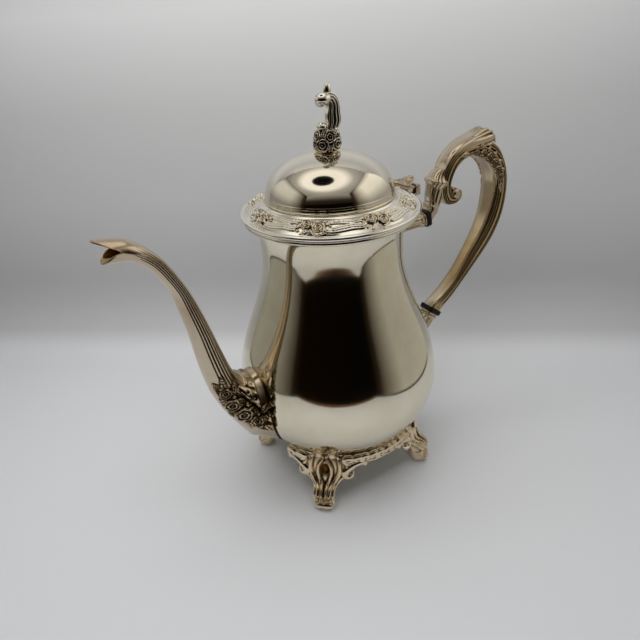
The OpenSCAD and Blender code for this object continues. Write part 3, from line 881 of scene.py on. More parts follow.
@dataclass
class PotBody:
    """Raised body with its bottom, strainer and the wire under the mouth. Sizes in mm."""

    belly_r: float = 65.5
    belly_z: float = 75.0
    bowl_h: float = 55.0
    neck_r: float = 43.3
    neck_z: float = 162.0
    mouth_r: float = 49.0
    mouth_z: float = 186.0
    seat_z: float = 33.0
    wall: float = 1.2
    rim_out: float = 3.4
    rim_h: float = 3.0
    strainer_d: float = 4.0
    strainer_pitch: float = 7.0
    strainer_z: float = 72.0
    strainer_rows: int = 5
    drill: float = 20.0

    def radius(self, z: np.ndarray) -> np.ndarray:
        """Outer radius of the body.

        Args:
            z: Heights above the floor.

        Returns:
            The radius at each height.
        """
        z = np.asarray(z, float)
        low = self.belly_r * np.sqrt(np.clip(1 - ((self.belly_z - z) / self.bowl_h) ** 2, 0, 1))
        turn = np.cos(math.pi * np.clip((z - self.belly_z) / (self.neck_z - self.belly_z), 0, 1))
        middle = self.neck_r + (self.belly_r - self.neck_r) * (1 + turn) / 2
        rise = np.clip((z - self.neck_z) / (self.mouth_z - self.neck_z), 0, 2)
        high = self.neck_r + (self.mouth_r - self.neck_r) * rise**2.8
        return np.where(z < self.belly_z, low, np.where(z < self.neck_z, middle, high))

    def under(self, r: np.ndarray) -> np.ndarray:
        """Height of the underside at each radius."""
        return self.belly_z - self.bowl_h * np.sqrt(np.clip(1 - (np.asarray(r) / self.belly_r) ** 2, 0, 1))

    def shell(self) -> bpy.types.Object:
        """Body sheet with its strainer holes.

        Returns:
            The sheet.
        """
        heights = np.linspace(self.seat_z, self.mouth_z, 110)
        outer = [(float(r), float(z)) for r, z in zip(self.radius(heights), heights)]
        inner = [(r - self.wall, z) for r, z in reversed(outer[::2])]
        piece = turned("body_raised_sheet", outer + inner)
        cutters = []
        edge = self.strainer_rows // 2
        for row in range(-edge, edge + 1):
            count = self.strainer_rows - abs(row)
            for k in range(count):
                deselect()
                y = (k - (count - 1) / 2) * self.strainer_pitch
                z = self.strainer_z + row * self.strainer_pitch * math.sin(math.radians(60))
                bpy.ops.mesh.primitive_cylinder_add(
                    vertices=24,
                    radius=self.strainer_d / 2 * MM,
                    depth=self.drill * MM,
                    location=(-self.belly_r * MM, y * MM, z * MM),
                    rotation=(0, math.pi / 2, 0),
                )
                cutters.append(bpy.context.object)
        cutter = join("strainer_drills", cutters)
        modify(piece, "BOOLEAN", operation="DIFFERENCE", object=cutter, solver="EXACT")
        bpy.data.objects.remove(cutter)
        smooth(piece, 35)
        return piece

    def wire(self) -> bpy.types.Object:
        """Half-round wire soldered under the mouth.

        Returns:
            The wire.
        """
        top = self.mouth_z - 0.2
        seat = np.linspace(top - self.rim_h, top, 8)
        inner = [(float(r) + 0.05, float(z)) for r, z in zip(self.radius(seat), seat)]
        half = self.rim_h / 2
        middle = self.mouth_r + self.rim_out - half
        outer = [
            (middle + half * math.cos(math.radians(a)), top - half + half * math.sin(math.radians(a)))
            for a in range(90, -91, -12)
        ]
        piece = turned("mouth_wire", inner + outer)
        smooth(piece, 50)
        return piece

    def build(self, wardrobe: Wardrobe) -> None:
        """Builds and dresses the body's pieces.

        Args:
            wardrobe: Gives the pieces their finishes.
        """
        wardrobe.dress(self.shell(), Finish.RAISED, Body.POT, ["body_shell"])
        wardrobe.dress(self.wire(), Finish.SPUN, Body.POT, ["rim_moulding"])
        wardrobe.paint("body_bottom", Finish.RAISED)


# ---- Lid ----


PLAIN = -9.0


@dataclass
class Lid:
    """Domed lid with its stamped border and bezel. Sizes in mm."""

    lid_z: float = 186.3
    dome_r: float = 38.4
    dome_z: float = 194.8
    dome_h: float = 26.0
    dome_power: float = 2.2
    dome_t: float = 1.0
    ring_high: float = 0.5
    ring_pitch: float = 1.5
    washer_r: float = 7.0
    screw_r: float = 1.8
    border_r: float = 54.0
    bead_r: float = 1.3
    bezel_r: float = 42.9
    mouth_r: float = 49.0
    sectors: int = 8
    sector_faces: int = 112
    band_r: float = 46.0
    relief_high: float = 1.5

    def dome(self) -> bpy.types.Object:
        """Dome, with the flat pad that the washer sits on.

        Returns:
            The dome.
        """
        power = 2 / self.dome_power
        outer, inner = [], []
        last = 360
        for k in range(last + 1):
            a = math.pi / 2 * k / last
            c, s = math.cos(a) ** power if k < last else 0.0, math.sin(a) ** power
            rise = self.dome_h * s
            ring = self.ring_high * abs(math.sin(math.pi * rise / self.ring_pitch)) ** 0.7
            ring = ring if rise < self.ring_pitch else ring * 0.3 if rise < 3 * self.ring_pitch else 0.0
            outer.append((self.dome_r * c + ring, self.dome_z + rise))
            if k % 6 == 0:
                inner.append(((self.dome_r - self.dome_t) * c, self.dome_z + (self.dome_h - self.dome_t) * s))
        top = self.dome_z + self.dome_h
        pad_r = self.washer_r - 0.6
        outer = [p for p in outer if p[0] > pad_r]
        outer += [(pad_r, top - 0.1), (pad_r, top + 0.2), (self.screw_r, top + 0.2)]
        inner = [p for p in reversed(inner) if p[0] > self.screw_r + 0.1]
        piece = turned("lid_dome_stamped", outer + [(self.screw_r, top - self.dome_t)] + inner)
        smooth(piece, 40)
        return piece

    def outline(self) -> np.ndarray:
        """Closed outline of the border.

        Returns:
            Rows of radius, height and distance across the ornament, which is PLAIN beside it.
        """
        bead_x, bead_z = self.border_r - self.bead_r, self.lid_z + self.bead_r
        rows: list[tuple[float, float, float]] = []
        for a in np.linspace(-90, 100, 20):
            c, s = math.cos(math.radians(a)), math.sin(math.radians(a))
            rows.append((bead_x + self.bead_r * c, bead_z + self.bead_r * s, PLAIN))
        rows.append((bead_x - self.bead_r * 0.75, bead_z + self.bead_r * 0.55, PLAIN))
        start = np.array([bead_x - self.bead_r - 0.5, bead_z + self.bead_r * 0.75])
        end = np.array([self.dome_r + 1.7, self.dome_z - 0.8])
        for f in np.linspace(0, 1, 56):
            p = start + (end - start) * f
            rows.append((p[0], p[1] + 0.7 * math.sin(math.pi * f), f * float(np.linalg.norm(end - start))))
        for r, z in ((1.3, -0.1), (1.0, 0.15), (0.6, 0.1), (0.45, -0.25), (0.2, -0.25), (0.05, 0.0)):
            rows.append((self.dome_r + r, self.dome_z + z, PLAIN))
        rows += [(self.dome_r - 2, self.dome_z, PLAIN), (self.dome_r - 2, self.dome_z - 1.6, PLAIN)]
        rows += [(self.bezel_r - 2.4, self.dome_z - 4, PLAIN), (self.bezel_r + 0.6, self.dome_z - 4, PLAIN)]
        rows += [(self.mouth_r - 0.4, self.lid_z, PLAIN)]
        return np.array(rows)

    def motifs(self) -> list[Motif]:
        """Ornament of one length of the border, centred on its pair of roses."""
        return [
            Rose(-3.5, 7.0, 3.7, 10, 1.2),
            Rose(3.4, 4.7, 3.9, 40, 1.25),
            Leaf(-6.7, 5.6, 4.6, 2.6, 200),
            Leaf(-6.6, 8.6, 4.0, 2.2, 165),
            Leaf(-1.8, 3.0, 4.6, 2.4, 208),
            Leaf(6.8, 6.8, 4.2, 2.4, 25),
            Leaf(7.0, 3.2, 4.0, 2.4, -18),
            Leaf(0.9, 9.2, 4.4, 2.2, 10),
            Bead(-9.2, 7.2, 0.8),
            Bead(-7.4, 2.6, 0.8),
            Bead(6.4, 9.4, 0.9),
            Ribbon(((7.6, 7.8), (11, 8.8), (16, 8.9), (21, 8.2), (25, 8.4), (28.6, 9.2)), 4.0, 3),
            Ribbon(((7.4, 3.4), (11, 3.3), (16, 4.1), (21, 4.6), (25, 4.0), (28.8, 3.4)), 4.6, 3),
            Bead(9.6, 5.8, 0.7),
            Bead(27.0, 7.2, 0.7),
        ]

    def border(self) -> bpy.types.Object:
        """Stamped border: bead, ornament between fine lines, and seat for the dome.

        Returns:
            The border.
        """
        rows = self.outline()
        count = len(rows)
        loop = np.vstack([rows, rows[:1]])
        length = math.tau * self.band_r / self.sectors
        motifs = self.motifs()

        def row(v: np.ndarray) -> np.ndarray:
            """Points of the outline, with their distance across the ornament."""
            t = np.clip(v, 0, 1) * count
            i = np.minimum(t.astype(int), count - 1)
            f = (t - i)[:, None]
            return loop[i] * (1 - f) + loop[i + 1] * f

        def base(u: np.ndarray, v: np.ndarray) -> np.ndarray:
            """Plain form."""
            at = row(v)
            return np.stack([at[:, 0] * np.cos(math.tau * u), at[:, 0] * np.sin(math.tau * u), at[:, 1]], axis=1)

        def carve(u: np.ndarray, v: np.ndarray, _: np.ndarray) -> np.ndarray:
            """Height of the ornament."""
            across = row(v)[:, 2]
            x = ((u * self.sectors) % 1.0) * length
            x = np.where(x > length - 9, x - length, x)
            inside = across > 0
            height = np.where(inside, relief(motifs, x, np.clip(across, 0, 12)), 0)
            edge = ramp(across, 0.3, 0.9) * (1 - ramp(across, 10.9, 11.5))
            return np.where(inside, self.relief_high * height * edge, 0)

        cols = self.sector_faces * self.sectors
        piece = Casting("lid_border_stamped", cols, count, base, carve, ring=True, depth=1.2).build()
        smooth(piece, 60)
        return piece

    def build(self, wardrobe: Wardrobe) -> None:
        """Builds and dresses the lid's pieces.

        Args:
            wardrobe: Gives the pieces their finishes.
        """
        wardrobe.dress(self.dome(), Finish.SPUN, Body.LID, ["lid_dome"])
        wardrobe.dress(self.border(), Finish.STAMPED, Body.LID, ["lid_border"])
        wardrobe.paint("lid_bezel", Finish.SPUN)


# ---- Spout ----


@dataclass
class Spout:
    """Raised swan-neck spout with flutes at the sides and applied flowers at its root. Sizes in mm.

    Each station holds the upper edge and the lower edge as x and z, and the half width.
    """

    body: PotBody
    wall: float = 1.4
    root_w: float = 20.0
    root_low: float = 37.5
    root_high: float = 97.0
    root_from: float = 0.93
    lip_up: float = 7.5
    lip_low: float = 5.0
    lip_notch: float = 4.5
    lip_share: float = 13.0
    inner_part: tuple[float, float] = (0.02, 0.23)
    fold_part: tuple[float, float] = (0.25, 0.03)
    outer_part: tuple[float, float] = (0.28, 0.72)
    flutes: tuple[float, ...] = (-42, -28, -14, 0, 14)
    ribs: tuple[float, ...] = (-35, -21, -7, 7)
    stations: tuple[tuple[float, ...], ...] = (
        (64.5, 201.0, 64.5, 187.6, 7.0),
        (55.5, 198.0, 58.5, 187.2, 6.4),
        (48.0, 192.6, 53.7, 185.0, 6.0),
        (41.0, 185.0, 48.0, 179.9, 5.9),
        (35.2, 175.7, 43.2, 171.8, 5.9),
        (29.7, 164.2, 38.8, 162.2, 6.0),
        (25.1, 151.5, 36.1, 149.5, 6.4),
        (20.5, 136.1, 33.3, 134.5, 7.2),
        (15.8, 118.7, 31.4, 118.7, 8.4),
        (11.5, 104.5, 29.1, 104.0, 10.0),
        (7.0, 97.6, 25.0, 88.0, 12.6),
        (3.0, 95.6, 17.5, 71.0, 15.8),
        (0.6, 96.2, 6.5, 52.5, 18.4),
    )

    def placed(self) -> np.ndarray:
        """Stations at their places on the pot.

        Returns:
            One row for each station.
        """
        rows = np.array(self.stations)
        rows[:, 0] = -self.body.belly_r - rows[:, 0]
        rows[:, 2] = -self.body.belly_r - rows[:, 2]
        return rows

    def root(self, angle: np.ndarray, inset: float) -> np.ndarray:
        """Places of the root on the body's surface.

        Args:
            angle: Angles round the spout, 0 at its upper edge.
            inset: Distance inside the outer edge of the root.

        Returns:
            The places in mm.
        """
        middle = (self.root_high + self.root_low) / 2
        half = (self.root_high - self.root_low) / 2 - inset
        z = middle + half * np.cos(angle)
        y = (self.root_w - inset) * np.sin(angle)
        x = -np.sqrt(np.maximum(self.body.radius(z) ** 2 - y * y, 0))
        return np.stack([x, y, z], axis=1)

    def wall_place(self, angle: np.ndarray, share: np.ndarray, inset: float) -> np.ndarray:
        """Places on the wall.

        Args:
            angle: Angles round the spout, 0 at its upper edge.
            share: Shares of the way from the lip to the root.
            inset: Distance inside the outer surface.

        Returns:
            The places in mm.
        """
        last = self.root_from
        point = section(along(self.placed(), share / last), angle, 1, inset)
        up, down = np.clip(np.cos(angle), 0, 1), np.clip(-np.cos(angle), 0, 1)
        reach = (self.lip_up + self.lip_notch) * up**1.3 + (self.lip_low + self.lip_notch) * down**0.6
        fade = np.clip(1 - share / last * self.lip_share, 0, 1) ** 1.4
        point = point + ((reach - self.lip_notch) * fade)[:, None] * np.array([-1, 0, 0.08])
        f = (part(share, last, 1 - last) * 0.5 + ramp(share, last, 1.0) * 0.5)[:, None]
        return point * (1 - f) + self.root(angle, inset) * f

    def tube(self) -> bpy.types.Object:
        """Spout tube, from the inside of its root over the lip and back down outside.

        Returns:
            The spout.
        """

        seat = self.inner_part[0]

        def base(u: np.ndarray, v: np.ndarray) -> np.ndarray:
            """Plain form."""
            angle = math.tau * u
            inner = self.wall_place(angle, 1 - part(v, *self.inner_part), self.wall)
            outer = self.wall_place(angle, part(v, *self.outer_part), 0)
            lip = part(v, *self.fold_part)[:, None]
            bulge = np.sin(math.pi * lip) * np.array([-0.6, 0, 0.1])
            place = inner * (1 - lip) + outer * lip + bulge
            close = np.clip(v / seat, 0, 1)[:, None]
            return np.where(v[:, None] < seat, self.root(angle, 0) * (1 - close) + inner * close, place)

        def carve(u: np.ndarray, v: np.ndarray, place: np.ndarray) -> np.ndarray:
            """Height of the ornament."""
            share, side = part(v, *self.outer_part), side_angle(u)
            flutes = np.zeros(len(u))
            for centre in self.flutes:
                flutes -= 0.7 * bell(side, centre, 2.6)
            for centre in self.ribs:
                flutes += 0.3 * round_bar(side, centre, 6.5)
            flutes *= ramp(share, 0.1, 0.26) * (1 - ramp(share, 0.66, 0.78))
            motifs = relief(self.flowers(), place[:, 0], place[:, 2])
            reach = 1 - ramp(np.abs(side), 52, 66)
            collar = 1.2 * bell(share, 0.9, 0.014) * ramp(-side, 20, 45)
            bow_edge = 0.9 * bell(share - 0.0006 * (side + 90), 0.79, 0.012) * ramp(-side, 28, 50)
            lobes = 0.9 * np.abs(np.cos(np.radians(side + 90) * 4.5)) ** 0.7 * ramp(-side, 30, 55)
            lobes *= ramp(share, 0.79, 0.83) * (1 - ramp(share, 0.88, 0.9)) * ramp(-side, 42, 50)
            petal = 1.7 * np.sqrt(np.clip(1 - ((share - 0.85) / 0.085) ** 2 - ((side + 31) / 14) ** 2, 0, 1))
            for eye in (0.828, 0.875):
                petal -= 1.3 * bell(share, eye, 0.008) * bell(side, -30, 3.4)
            groove = -0.7 * bell(side, -13, 3.5) * ramp(share, 0.75, 0.8) * (1 - ramp(share, 0.92, 0.96))
            drawn = flutes + 1.3 * motifs * reach + collar + bow_edge * ramp(-side, 44, 50) + lobes + petal + groove
            return np.where(v > self.outer_part[0], drawn, 0)

        def stain_and_shade(u: np.ndarray, v: np.ndarray, place: np.ndarray) -> np.ndarray:
            """Least darkening: a dark seam at the root that is darker towards the bottom, a darker throat, tarnish in
            the matted bed between the flowers, and painted shade in the groove under the bow.
            """
            share, side = part(v, *self.outer_part), side_angle(u)
            seam = ramp(v, 0.985, 0.995) * (0.25 + 0.6 * (1 - ramp(place[:, 2], 70, 84)))
            throat = 0.35 * (1 - ramp(v, 0.2, 0.3))
            high = relief(self.flowers(), place[:, 0], place[:, 2])
            bed = 0.6 * ramp(high, 0.05, 0.2) * (1 - ramp(high, 0.5, 0.8)) * ramp(share, 0.7, 0.74)
            bed *= 1 - ramp(np.abs(side), 46, 56)
            # painted shade: a dark band in the groove under the bow, where shade falls beneath it
            under = 0.7 * bell(side, -13, 4.5) * ramp(share, 0.76, 0.82) * (1 - ramp(share, 0.92, 0.96))
            return np.maximum(seam + throat, np.maximum(bed, under))

        return Casting("spout_swan_neck", 200, 760, base, carve, ring=True, depth=0.6, turn=-1, stain_and_shade=stain_and_shade).build()

    def flowers(self) -> list[Motif]:
        """Flowers and leaves at the root, drawn on the side view as x and z."""
        return [
            Ground((-92.0, 102.5), (-64.4, 62.0), 11.5, 0.45, 1.5),
            Rose(-83.4, 86.6, 4.4, 15, 1.9),
            Rose(-78.0, 79.0, 5.0, 50, 2.1),
            Rose(-86.2, 95.2, 3.4, 0, 1.6),
            Rose(-71.6, 72.4, 3.9, 20, 1.9),
            Rose(-79.2, 87.6, 2.7, 40, 1.5),
            Rose(-73.2, 80.2, 2.9, 10, 1.5),
            Rose(-66.6, 73.6, 2.6, 60, 1.5),
            Rose(-83.2, 79.4, 2.4, 70, 1.5),
            Leaf(-67.0, 68.6, 8.5, 4.2, -52, 1.6),
            Leaf(-64.6, 76.0, 8.0, 3.8, -24, 1.5),
            Leaf(-76.0, 73.0, 7.4, 4.2, -70, 1.6),
            Leaf(-68.6, 77.4, 7.0, 3.8, 40, 1.5),
            Leaf(-86.8, 86.0, 6.8, 3.8, 255, 1.4),
            Leaf(-86.4, 91.4, 6.4, 3.6, 235, 1.3),
            Leaf(-86.6, 99.0, 8.0, 3.4, 96, 1.3),
            Leaf(-82.6, 93.4, 7.4, 3.6, 72, 1.3),
            Leaf(-76.4, 84.4, 5.4, 3.2, 30, 1.3),
            Bead(-82.2, 92.0, 1.2, 1.3),
            Bead(-88.2, 98.8, 1.1, 1.3),
            Bead(-75.6, 85.4, 1.2, 1.3),
            Bead(-69.4, 67.4, 1.3, 1.3),
            Bead(-70.2, 77.2, 1.1, 1.3),
        ]

    def build(self, wardrobe: Wardrobe) -> None:
        """Builds and dresses the spout.

        Args:
            wardrobe: Gives the pieces their finishes.
        """
        wardrobe.dress(self.tube(), Finish.CAST, Body.POT, ["spout"])


# ---- Handle ----


# an insulator's x, z, tilt in degrees and length
Seat = tuple[float, float, float, float]


@dataclass
class Handle:
    """Cast scroll handle, held away from the body by two insulators. Sizes in mm.

    Stations hold the outer edge and the inner edge as x and z from the handle's own origin, and
    the half width.
    """

    body: PotBody
    lower: Seat = (83.7, 91.2, 38.0, 13.0)
    upper: Seat = (74.0, 164.0, 82.0, 10.6)
    pad_t: float = 3.4
    pad_w: float = 12.4
    gap: float = 0.05
    edge: float = 0.6
    grooves: tuple[float, ...] = (-38, -23, -8, 7, 22, 37)
    reeds: tuple[float, ...] = (-30.5, -15.5, -0.5, 14.5, 29.5)
    leaf_grooves: tuple[float, ...] = (-40, -14, 12, 38)
    curl: tuple[float, float] = (15.4, 84.9)
    band: tuple[tuple[float, ...], ...] = (
        (9.2, 1.6, 0.4, 8.2, 5.4),
        (16.2, 7.4, 9.0, 13.0, 5.3),
        (25.2, 15.8, 18.4, 21.0, 5.4),
        (34.2, 24.4, 26.0, 30.4, 5.6),
        (44.8, 35.0, 33.4, 41.0, 6.0),
        (53.8, 46.8, 40.4, 51.4, 6.8),
        (59.8, 61.0, 46.4, 64.2, 7.7),
        (61.4, 77.0, 49.2, 79.2, 8.5),
        (59.8, 93.0, 48.4, 91.0, 8.5),
        (52.8, 108.0, 43.0, 99.2, 8.0),
        (42.4, 116.0, 35.0, 105.4, 7.5),
        (30.0, 119.0, 26.6, 108.4, 7.0),
        (17.4, 117.2, 20.0, 107.0, 6.8),
        (7.2, 110.8, 13.6, 102.6, 6.6),
        (1.4, 100.6, 10.0, 95.0, 6.2),
        (1.4, 89.0, 10.0, 89.6, 5.8),
        (5.0, 80.4, 13.0, 85.4, 5.4),
        (12.0, 77.8, 15.2, 84.6, 5.2),
        (19.6, 80.0, 15.6, 84.4, 5.0),
        (20.6, 86.0, 15.8, 84.6, 4.6),
        (15.4, 88.8, 15.6, 85.0, 4.0),
    )
    crown: tuple[tuple[float, ...], ...] = (
        (4.6, 107.0, 11.4, 104.0, 4.6),
        (9.4, 113.4, 15.0, 108.0, 5.8),
        (16.0, 118.0, 20.0, 111.0, 6.6),
        (23.6, 120.8, 27.0, 112.0, 7.1),
        (31.4, 122.6, 34.4, 112.0, 7.6),
        (37.8, 124.2, 41.6, 112.4, 8.0),
        (40.6, 123.6, 46.4, 114.4, 7.6),
    )
    shank: tuple[tuple[float, ...], ...] = (
        (2.8, 9.4, 8.6, 2.6, 5.2),
        (2.4, 15.0, 12.4, 8.6, 5.0),
        (3.0, 20.0, 14.6, 14.6, 5.2),
        (4.0, 24.4, 15.6, 21.0, 6.3),
        (6.6, 28.0, 15.8, 27.0, 5.2),
        (10.2, 31.0, 16.4, 31.0, 4.6),
    )

    def face(self, at: Seat, out: float, up: float) -> tuple[float, float]:
        """Place on an insulator's face.

        Args:
            at: The insulator's seat.
            out: Distance from its middle towards the handle.
            up: Distance up the face.

        Returns:
            The x and z of the place.
        """
        x, z, tilt, _ = at
        s, c = math.sin(math.radians(tilt)), math.cos(math.radians(tilt))
        return x + out * s - up * c, z + out * c + up * s

    def pad_station(self, at: Seat, out: float, cut: float) -> tuple[float, ...]:
        """Station on an insulator's face.

        Args:
            at: The insulator's seat.
            out: Distance from its middle towards the handle.
            cut: Distance inside its edge.

        Returns:
            The station, lower edge first.
        """
        low = self.face(at, out, -at[3] / 2 + cut)
        high = self.face(at, out, at[3] / 2 - cut)
        return (*low, *high, self.pad_w / 2 - cut)

    def placed(self, rows: Sequence[Sequence[float]], at: Seat) -> np.ndarray:
        """Stations moved from an insulator's origin to their places on the pot."""
        return np.array(rows) + np.array([at[0], at[1], at[0], at[1], 0])

    def band_piece(self) -> bpy.types.Object:
        """Main scroll, with reeded sides and flowers at its top bend.

        Returns:
            The scroll.
        """
        seat = np.array([self.pad_station(self.lower, self.pad_t / 2 + self.gap, self.edge)])
        rows = np.vstack([seat, self.placed(self.band, self.lower)])
        x0, z0 = self.lower[0], self.lower[1]

        def base(u: np.ndarray, v: np.ndarray) -> np.ndarray:
            """Plain form."""
            return section(along(rows, v), math.tau * u, 0.6)

        def carve(u: np.ndarray, v: np.ndarray, place: np.ndarray) -> np.ndarray:
            """Height of the ornament."""
            side = side_angle(u)
            reeds = np.zeros(len(u))
            for centre in self.grooves:
                reeds -= 1.2 * bell(side, centre, 3.0)
            for centre in self.reeds:
                reeds += 0.35 * round_bar(side, centre, 7)
            reeds *= ramp(v, 0.03, 0.09) * (1 - ramp(v, 0.86, 0.9))
            top = 0.5 * bell(side, -50, 7) * ramp(v, 0.04, 0.1) * (1 - ramp(v, 0.8, 0.86))
            flowers = relief(self.flowers(), place[:, 0] - x0, place[:, 2] - z0)
            flowers *= 1 - ramp(np.abs(side), 46, 56)
            return reeds * (1 - ramp(flowers, 0.02, 0.2)) + top + flowers

        def stain_and_shade(u: np.ndarray, v: np.ndarray, place: np.ndarray) -> np.ndarray:
            """Least darkening: darker near the inner edge low down, and on the flanks away from the blossoms."""
            angle = np.abs(edge_angle(u))
            inner = 0.26 * ramp(angle, 125, 150) * (0.6 + 0.4 * np.sin(9 * v + 1)) * ramp(v, 0.04, 0.2)
            flank = 0.17 * (ramp(angle, 42, 60) - ramp(angle, 120, 138))
            blossoms = ramp(relief(self.flowers(), place[:, 0] - x0, place[:, 2] - z0), 0.5, 0.8)
            return inner * (1 - ramp(v, 0.55, 0.7)) + flank * (1 - blossoms)

        return Casting("handle_scroll", 180, 900, base, carve, depth=0.45, stain_and_shade=stain_and_shade).build()

    def flowers(self) -> list[Motif]:
        """Flowers at the handle's top bend, drawn on the side view."""
        return [
            Ground((17, 110.6), (43, 105), 6.5, 0.4, 1.4),
            Ground((35, 110.4), (53.6, 87), 7.6, 0.4, 1.4),
            Rose(28.6, 110.6, 2.2, 20, 1.3),
            Rose(34.4, 109.2, 2.8, 50, 1.6),
            Rose(40.0, 106.0, 3.1, 0, 1.7),
            Rose(44.8, 101.4, 3.1, 35, 1.7),
            Rose(48.8, 96.0, 2.9, 15, 1.6),
            Rose(51.8, 90.6, 2.3, 15, 1.4),
            Leaf(22.4, 110.6, 9.0, 3.2, 178, 1.2),
            Leaf(31.4, 112.4, 4.6, 2.6, 60, 1.1),
            Leaf(37.8, 109.6, 4.8, 2.8, 50, 1.2),
            Leaf(43.4, 105.8, 4.8, 2.8, 40, 1.2),
            Leaf(48.0, 100.6, 4.8, 2.8, 20, 1.2),
            Leaf(51.4, 95.0, 4.6, 2.8, 5, 1.2),
            Leaf(36.4, 105.6, 4.4, 2.4, 235, 1.1),
            Leaf(41.6, 101.4, 4.4, 2.4, 220, 1.1),
            Leaf(45.8, 96.0, 4.4, 2.4, 205, 1.1),
            Leaf(52.6, 86.4, 7.6, 3.0, -84, 1.2),
            Bead(31.4, 108.0, 0.8, 1.1),
            Bead(37.4, 106.4, 0.8, 1.1),
            Bead(42.8, 102.6, 0.8, 1.1),
            Bead(47.4, 97.6, 0.8, 1.1),
        ]

    def crown_piece(self) -> bpy.types.Object:
        """Shell-shaped crown on the top of the scroll.

        Returns:
            The crown.
        """
        rows = self.placed(self.crown, self.lower)

        def base(u: np.ndarray, v: np.ndarray) -> np.ndarray:
            """Plain form."""
            return section(along(rows, v), math.tau * u, 0.62)

        def carve(u: np.ndarray, v: np.ndarray, place: np.ndarray) -> np.ndarray:
            """Height of the ornament."""
            flutes = 0.5 - 1.5 * np.abs(np.cos(math.tau * u * 5)) ** 3
            rim = 0.5 * bell(v, 0.97, 0.02)
            return flutes * ramp(v, 0.45, 0.85) * (1 - ramp(v, 0.97, 0.995)) + rim

        return Casting("handle_shell_crown", 144, 200, base, carve, depth=0.5, turn=-1).build()

    def shank_piece(self) -> bpy.types.Object:
        """Upright leaf between the upper insulator and the scroll.

        Returns:
            The leaf.
        """
        low = self.pad_station(self.upper, self.pad_t / 2 + self.gap, self.edge)
        seat = np.array([[low[2], low[3], low[0], low[1], low[4]]])
        rows = np.vstack([seat, self.placed(self.shank, self.upper)])

        def base(u: np.ndarray, v: np.ndarray) -> np.ndarray:
            """Plain form."""
            return section(along(rows, v), math.tau * u, 0.7)

        def carve(u: np.ndarray, v: np.ndarray, place: np.ndarray) -> np.ndarray:
            """Height of the ornament."""
            side = side_angle(u)
            height = np.zeros(len(u))
            for centre in self.leaf_grooves:
                height -= 0.7 * bell(side - 14 * v, centre, 4.5)
            ring = 0.5 * bell(v, 0.15, 0.03) + 1.3 * bell(v, 0.67, 0.05)
            return height * ramp(v, 0.2, 0.3) * (1 - ramp(v, 0.9, 0.98)) + ring

        return Casting("handle_shank_leaf", 120, 220, base, carve, depth=0.5, turn=-1).build()

    def volute_eyes(self) -> bpy.types.Object:
        """Round eyes in the curl that ends the scroll, one on each side.

        Returns:
            The eyes.
        """
        x, z = self.lower[0] + self.curl[0], self.lower[1] + self.curl[1]
        eyes = [
            ball((x, side * (4.2 + reach), z), (radius, 0.45 * radius, radius), 40, 20, 90)
            for side in (-1, 1)
            for radius, reach in ((3.4, 0.2), (1.6, 1.0))
        ]
        piece = join("handle_volute_eyes", eyes)
        smooth(piece)
        write_tarnish_and_shade(piece, np.zeros(len(piece.data.vertices)))
        return piece

    def socket(self, name: str, at: Seat, high: float, low: float, half: float) -> bpy.types.Object:
        """Socket soldered to the body that holds an insulator.

        Args:
            name: Name of the piece.
            at: The insulator's seat.
            high: Upper end of its root on the body.
            low: Lower end of its root.
            half: Half width of its root.

        Returns:
            The socket.
        """
        seat = self.pad_station(at, -self.pad_t / 2 - self.gap, self.edge)
        neck = self.pad_station(at, -self.pad_t / 2 - 3.0, 1.0)
        neck_at = 0.62

        def ring(station: Sequence[float], angle: np.ndarray, power: float) -> np.ndarray:
            """Places on the section at an insulator."""
            turned_over = [[station[2], station[3], station[0], station[1], station[4]]]
            return section(np.repeat(np.array(turned_over), len(angle), 0), angle, power)

        def base(u: np.ndarray, v: np.ndarray) -> np.ndarray:
            """Plain form."""
            angle = math.tau * u
            z = (high + low) / 2 + (high - low) / 2 * np.cos(angle)
            y = half * np.sin(angle)
            foot = np.stack([np.sqrt(self.body.radius(z) ** 2 - y * y), y, z], axis=1)
            a = (ramp(v, 0.0, neck_at) * 0.5 + np.clip(v / neck_at, 0, 1) * 0.5)[:, None]
            b = part(v, neck_at, 1 - neck_at)[:, None]
            first = foot * (1 - a) + ring(neck, angle, 0.75) * a
            second = ring(neck, angle, 0.75) * (1 - b) + ring(seat, angle, 0.6) * b
            return np.where(v[:, None] < neck_at, first, second)

        def carve(u: np.ndarray, v: np.ndarray, place: np.ndarray) -> np.ndarray:
            """Height of the ornament."""
            lip = 0.55 * round_bar(v, 0.91, 0.07)
            collar = 0.8 * round_bar(v, 0.66, 0.09) * (0.8 + 0.2 * np.cos(math.tau * u * 18))
            flutes = -0.6 * np.abs(np.cos(math.pi * u * 10)) ** 8 * ramp(v, 0.1, 0.2) * (1 - ramp(v, 0.5, 0.58))
            return lip + collar + flutes

        return Casting(name, 160, 150, base, carve, depth=0.5, turn=-1).build()

    def build(self, wardrobe: Wardrobe) -> None:
        """Builds and dresses the handle's pieces.

        Args:
            wardrobe: Gives the pieces their finishes.
        """
        wardrobe.dress(self.band_piece(), Finish.CAST, Body.POT, ["handle"])
        wardrobe.dress(self.crown_piece(), Finish.CAST, Body.POT)
        wardrobe.dress(self.shank_piece(), Finish.CAST, Body.POT)
        wardrobe.dress(self.volute_eyes(), Finish.CAST, Body.POT)
        high = self.socket("upper_socket_cast", self.upper, self.upper[1] + 6, self.upper[1] - 6, 7)
        low = self.socket("lower_socket_cast", self.lower, self.lower[1] - 5, self.lower[1] - 27, 8)
        wardrobe.dress(high, Finish.CAST, Body.POT, ["upper_socket"])
        wardrobe.dress(low, Finish.CAST, Body.POT, ["lower_socket"])
        for node in ("upper_insulator", "lower_insulator"):
            piece = merged_copy(node, node + "_block")
            modify(piece, "BEVEL", width=0.5 * MM, segments=3, limit_method="ANGLE")
            smooth(piece, 30)
            wardrobe.dress(piece, Finish.INSULATOR, Body.POT, [node])
        wardrobe.paint("insulator_pins", Finish.PIN)


# ---- Base ----


